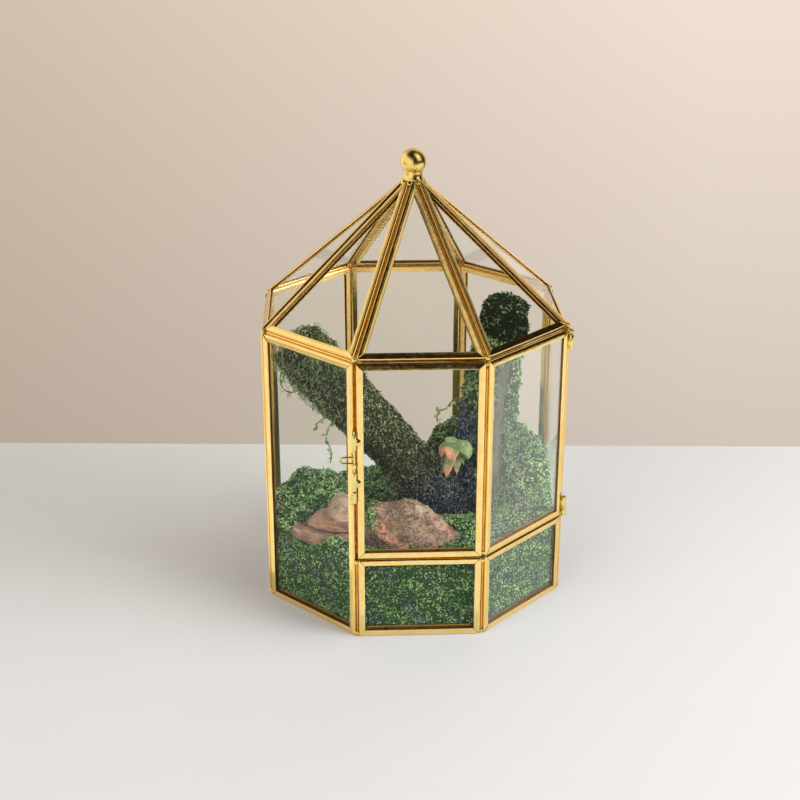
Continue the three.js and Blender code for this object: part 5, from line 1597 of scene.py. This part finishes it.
def leaf_group():
    """Succulent skin: olive green to salmon by the Blush input, with a pale bloom,
    tiny dots and faint lengthwise shading."""
    group, place, given, end = new_group("succulent_detail", ["Blush"])
    cloud = noise_node(group, place, 110, 4)
    bloom = map_node(group, cloud, 0.35, 0.7)
    green = mix_colors(group, bloom, (0.07, 0.12, 0.045, 1), (0.18, 0.24, 0.10, 1))
    wander = math_node(group, "ADD", given["Blush"], map_node(group, cloud, 0.3, 0.7, -0.2, 0.2))
    color = mix_colors(group, map_node(group, wander, 0.15, 0.8), green, (0.76, 0.27, 0.20, 1))
    dots = map_node(group, noise_node(group, place, 900, 2), 0.62, 0.72, 0.0, 0.4)
    color = mix_colors(group, dots, color, (0.42, 0.20, 0.12, 1))
    rough = map_node(group, cloud, 0.2, 0.8, 0.55, 0.38)
    close_group(group, end, color, rough, noise_node(group, place, 500, 3), 0.15, 0.0006)
    return group


flesh = {"Subsurface Weight": 0.12, "Subsurface Radius": (0.004, 0.002, 0.001)}
leaf_skin = new_surface("succulent_skin", leaf_group(), {"Blush": "blush"}, flesh)
parts, blush = [], []
for leaf in SUCCULENT_LEAVES:
    points, faces, pink = succulent_leaf(*leaf)
    parts.append((points, faces))
    blush.append(pink)
stem_path = ROOT_AT + (CROWN_AT + [0, 0, 1] - ROOT_AT) * np.linspace(0, 1, 20)[:, None]
stem = sweep(stem_path, 1.7, 16)
parts.append(stem)
blush.append(np.full(len(stem[0]), 0.2))
values = {"blush": np.concatenate(blush)}
new_piece(
    "succulent_plant", *joined(parts), "case", leaf_skin, "succulent", ["succulent"], values, SMOOTH,
)

# ---------------------------------------------------------------------------
# Studio. A pale table whose far edge the photograph shows, a warm wall behind it,
# painted lighter to the right and darker lower down as the lights fall on it, and
# large soft lights, the strongest from the right.
# ---------------------------------------------------------------------------


def table_material():
    """Pale matt table top with a faint cloudiness."""
    finish, tree, shader = new_material("table_top")
    place = add_node(tree, "TexCoord").outputs["Object"]
    cloud = noise_node(tree, place, 3, 3)
    color = mix_colors(tree, cloud, (0.69, 0.70, 0.725, 1), (0.72, 0.73, 0.755, 1))
    tree.links.new(color, shader.inputs["Base Color"])
    tree.links.new(map_node(tree, cloud, 0, 1, 0.5, 0.6), shader.inputs["Roughness"])
    return finish


table_mesh = bpy.data.meshes.new("table")
table_mesh.from_pydata([(-6, -0.9, 0), (6, -0.9, 0), (6, -0.087, 0), (-6, 0.573, 0)], [], [(0, 1, 2, 3)])
table_mesh.materials.append(table_material())
table = bpy.data.objects.new("table", table_mesh)
bpy.context.scene.collection.objects.link(table)

world = bpy.data.worlds.new("room")
world.use_nodes = True
tree = world.node_tree
background = tree.nodes["Background"]
way = add_node(tree, "TexCoord").outputs["Generated"]
axes = add_node(tree, "SeparateXYZ", {0: way}).outputs
# The wall's colour holds painted light: lighter to the right, where the key light falls, and darker
# lower down.
lighter_to_right = map_node(tree, axes[0], -0.26, 0.24)
wall_with_painted_light = mix_colors(tree, lighter_to_right, (0.56, 0.46, 0.37, 1), (0.80, 0.69, 0.59, 1))
wall_with_painted_light = scaled(tree, wall_with_painted_light, map_node(tree, axes[2], -0.42, -0.1, 0.80, 1.12))
# What lights the room: the wall behind, a bright wall on the left up to 50
# degrees, and a dark ceiling, front and right.
turned_right = product(tree, math_node(tree, "MAXIMUM", axes[0], 0.0), 0.35)
toward_wall = map_node(tree, math_node(tree, "SUBTRACT", axes[1], turned_right), 0.05, 0.4)
left_bound = math_node(tree, "ADD", axes[0], map_node(tree, axes[1], 0.0, 0.6, 0.0, 0.4))
toward_left = map_node(tree, left_bound, -0.02, -0.16)
rise = math_node(tree, "ADD", axes[2], product(tree, axes[0], 0.5))
low = map_node(tree, rise, 0.42, 0.12)
high = map_node(tree, axes[2], 0.93, 0.8)
on_wall = product(tree, toward_wall, high)
room = mix_colors(tree, on_wall, (0.012, 0.010, 0.007, 1), wall_with_painted_light)
room = mix_colors(tree, product(tree, toward_left, low), room, (1.15, 1.05, 0.9, 1))
# A pale patch of ceiling, high up in front at the right.
toward_patch = {0: way, 1: (0.40, -0.29, 0.87)}
patch = add_node(tree, "VectorMath", toward_patch, operation="DOT_PRODUCT").outputs[1]
room = mix_colors(tree, map_node(tree, patch, 0.94, 0.98), room, (0.85, 0.77, 0.62, 1))
# What shows behind the terrarium: the wall, with its painted light, and the table below its edge.
over_edge = map_node(tree, axes[2], -0.46, -0.44)
backdrop = mix_colors(tree, over_edge, (0.74, 0.71, 0.70, 1), wall_with_painted_light)
path = add_node(tree, "LightPath").outputs
seen = math_node(tree, "MAXIMUM", path["Is Camera Ray"], path["Is Transmission Ray"])
tree.links.new(mix_colors(tree, seen, room, backdrop), background.inputs["Color"])
background.inputs["Strength"].default_value = 1.0
bpy.context.scene.world = world


def stand_in_room(thing, across, back, place):
    """Links a light or camera that looks along -back from a place, with across as
    its right and the rest of its axes square to them."""
    bpy.context.scene.collection.objects.link(thing)
    axes = np.stack([across, np.cross(back, across), back], 1)
    rows = [[*row, at] for row, at in zip(axes, place)]
    thing.matrix_world = Matrix([*rows, [0, 0, 0, 1]])


def soft_light(name, place, aim, size, power, color, glossy=True, diffuse=True, spread=180):
    """A rectangular soft light at a place, turned to aim, all in metres. Only if
    glossy does the metal show it, and only if diffuse does it light plants and table.
    spread is the whole angle over which it shines."""
    data = bpy.data.lights.new(name, "AREA")
    data.shape = "RECTANGLE"
    data.size, data.size_y = size
    data.energy = power
    data.color = color
    data.spread = np.radians(spread)
    light = bpy.data.objects.new(name, data)
    light.visible_camera = False
    light.visible_glossy = glossy
    light.visible_diffuse = diffuse
    light.visible_transmission = diffuse
    back = unit(np.array(place, float) - aim)
    stand_in_room(light, unit(np.cross([0, 0, 1.0], back)), back, place)


middle = np.array([0, 0, 0.16])
key_place = middle + 1.6 * np.array([0.90, -0.275, 0.342])
soft_light("key", key_place, middle, (1.4, 1.2), 16, (1, 0.99, 0.98), False, spread=110)
soft_light("fill", (-0.85, -1.0, 0.8), middle, (1.1, 1.1), 10, (1, 0.98, 0.97), False)
window_place = middle + 1.8 * np.array([0.66, -0.46, 0.59])
soft_light("window", window_place, middle, (1.0, 1.3), 5, (1, 0.99, 0.97))
# Two glows that lie on the table, in front and at the left, show only in the metal.
front_glow = ((0.0, -0.55, 0.002), (0.0, -0.549, 1.0), (1.4, 0.8))
soft_light("front_glow", *front_glow, 0.72, (1, 0.99, 0.97), True, False)
left_glow = ((-0.55, 0.1, 0.002), (-0.55, 0.101, 1.0), (0.8, 0.496))
soft_light("left_glow", *left_glow, 0.5, (1, 0.99, 0.97), True, False)

# The camera stands where the photograph was taken from: 22.5 degrees above the
# table, 2.5 degrees to the left of the front, with a field of 29.9 degrees.
azimuth, elevation, roll = np.radians(-2.52), np.radians(22.51), np.radians(0.03)
target, distance = np.array([-10.1, 0.0, 149.2]) * MM, 1218.4 * MM
back = np.array([
    np.sin(azimuth) * np.cos(elevation), -np.cos(azimuth) * np.cos(elevation), np.sin(elevation),
])
right = unit(np.cross(-back, [0, 0, 1.0]))
camera_data = bpy.data.cameras.new("camera")
camera_data.sensor_width = 36.0
camera_data.lens = 36.0 * 1499.8 / 800
camera_data.clip_start, camera_data.clip_end = 0.05, 50
camera = bpy.data.objects.new("camera", camera_data)
across = np.cos(roll) * right + np.sin(roll) * np.cross(back, right)
stand_in_room(camera, across, back, target + back * distance)
bpy.context.scene.camera = camera
bpy.context.scene.view_settings.view_transform = "Standard"
bpy.context.scene.view_settings.look = "None"
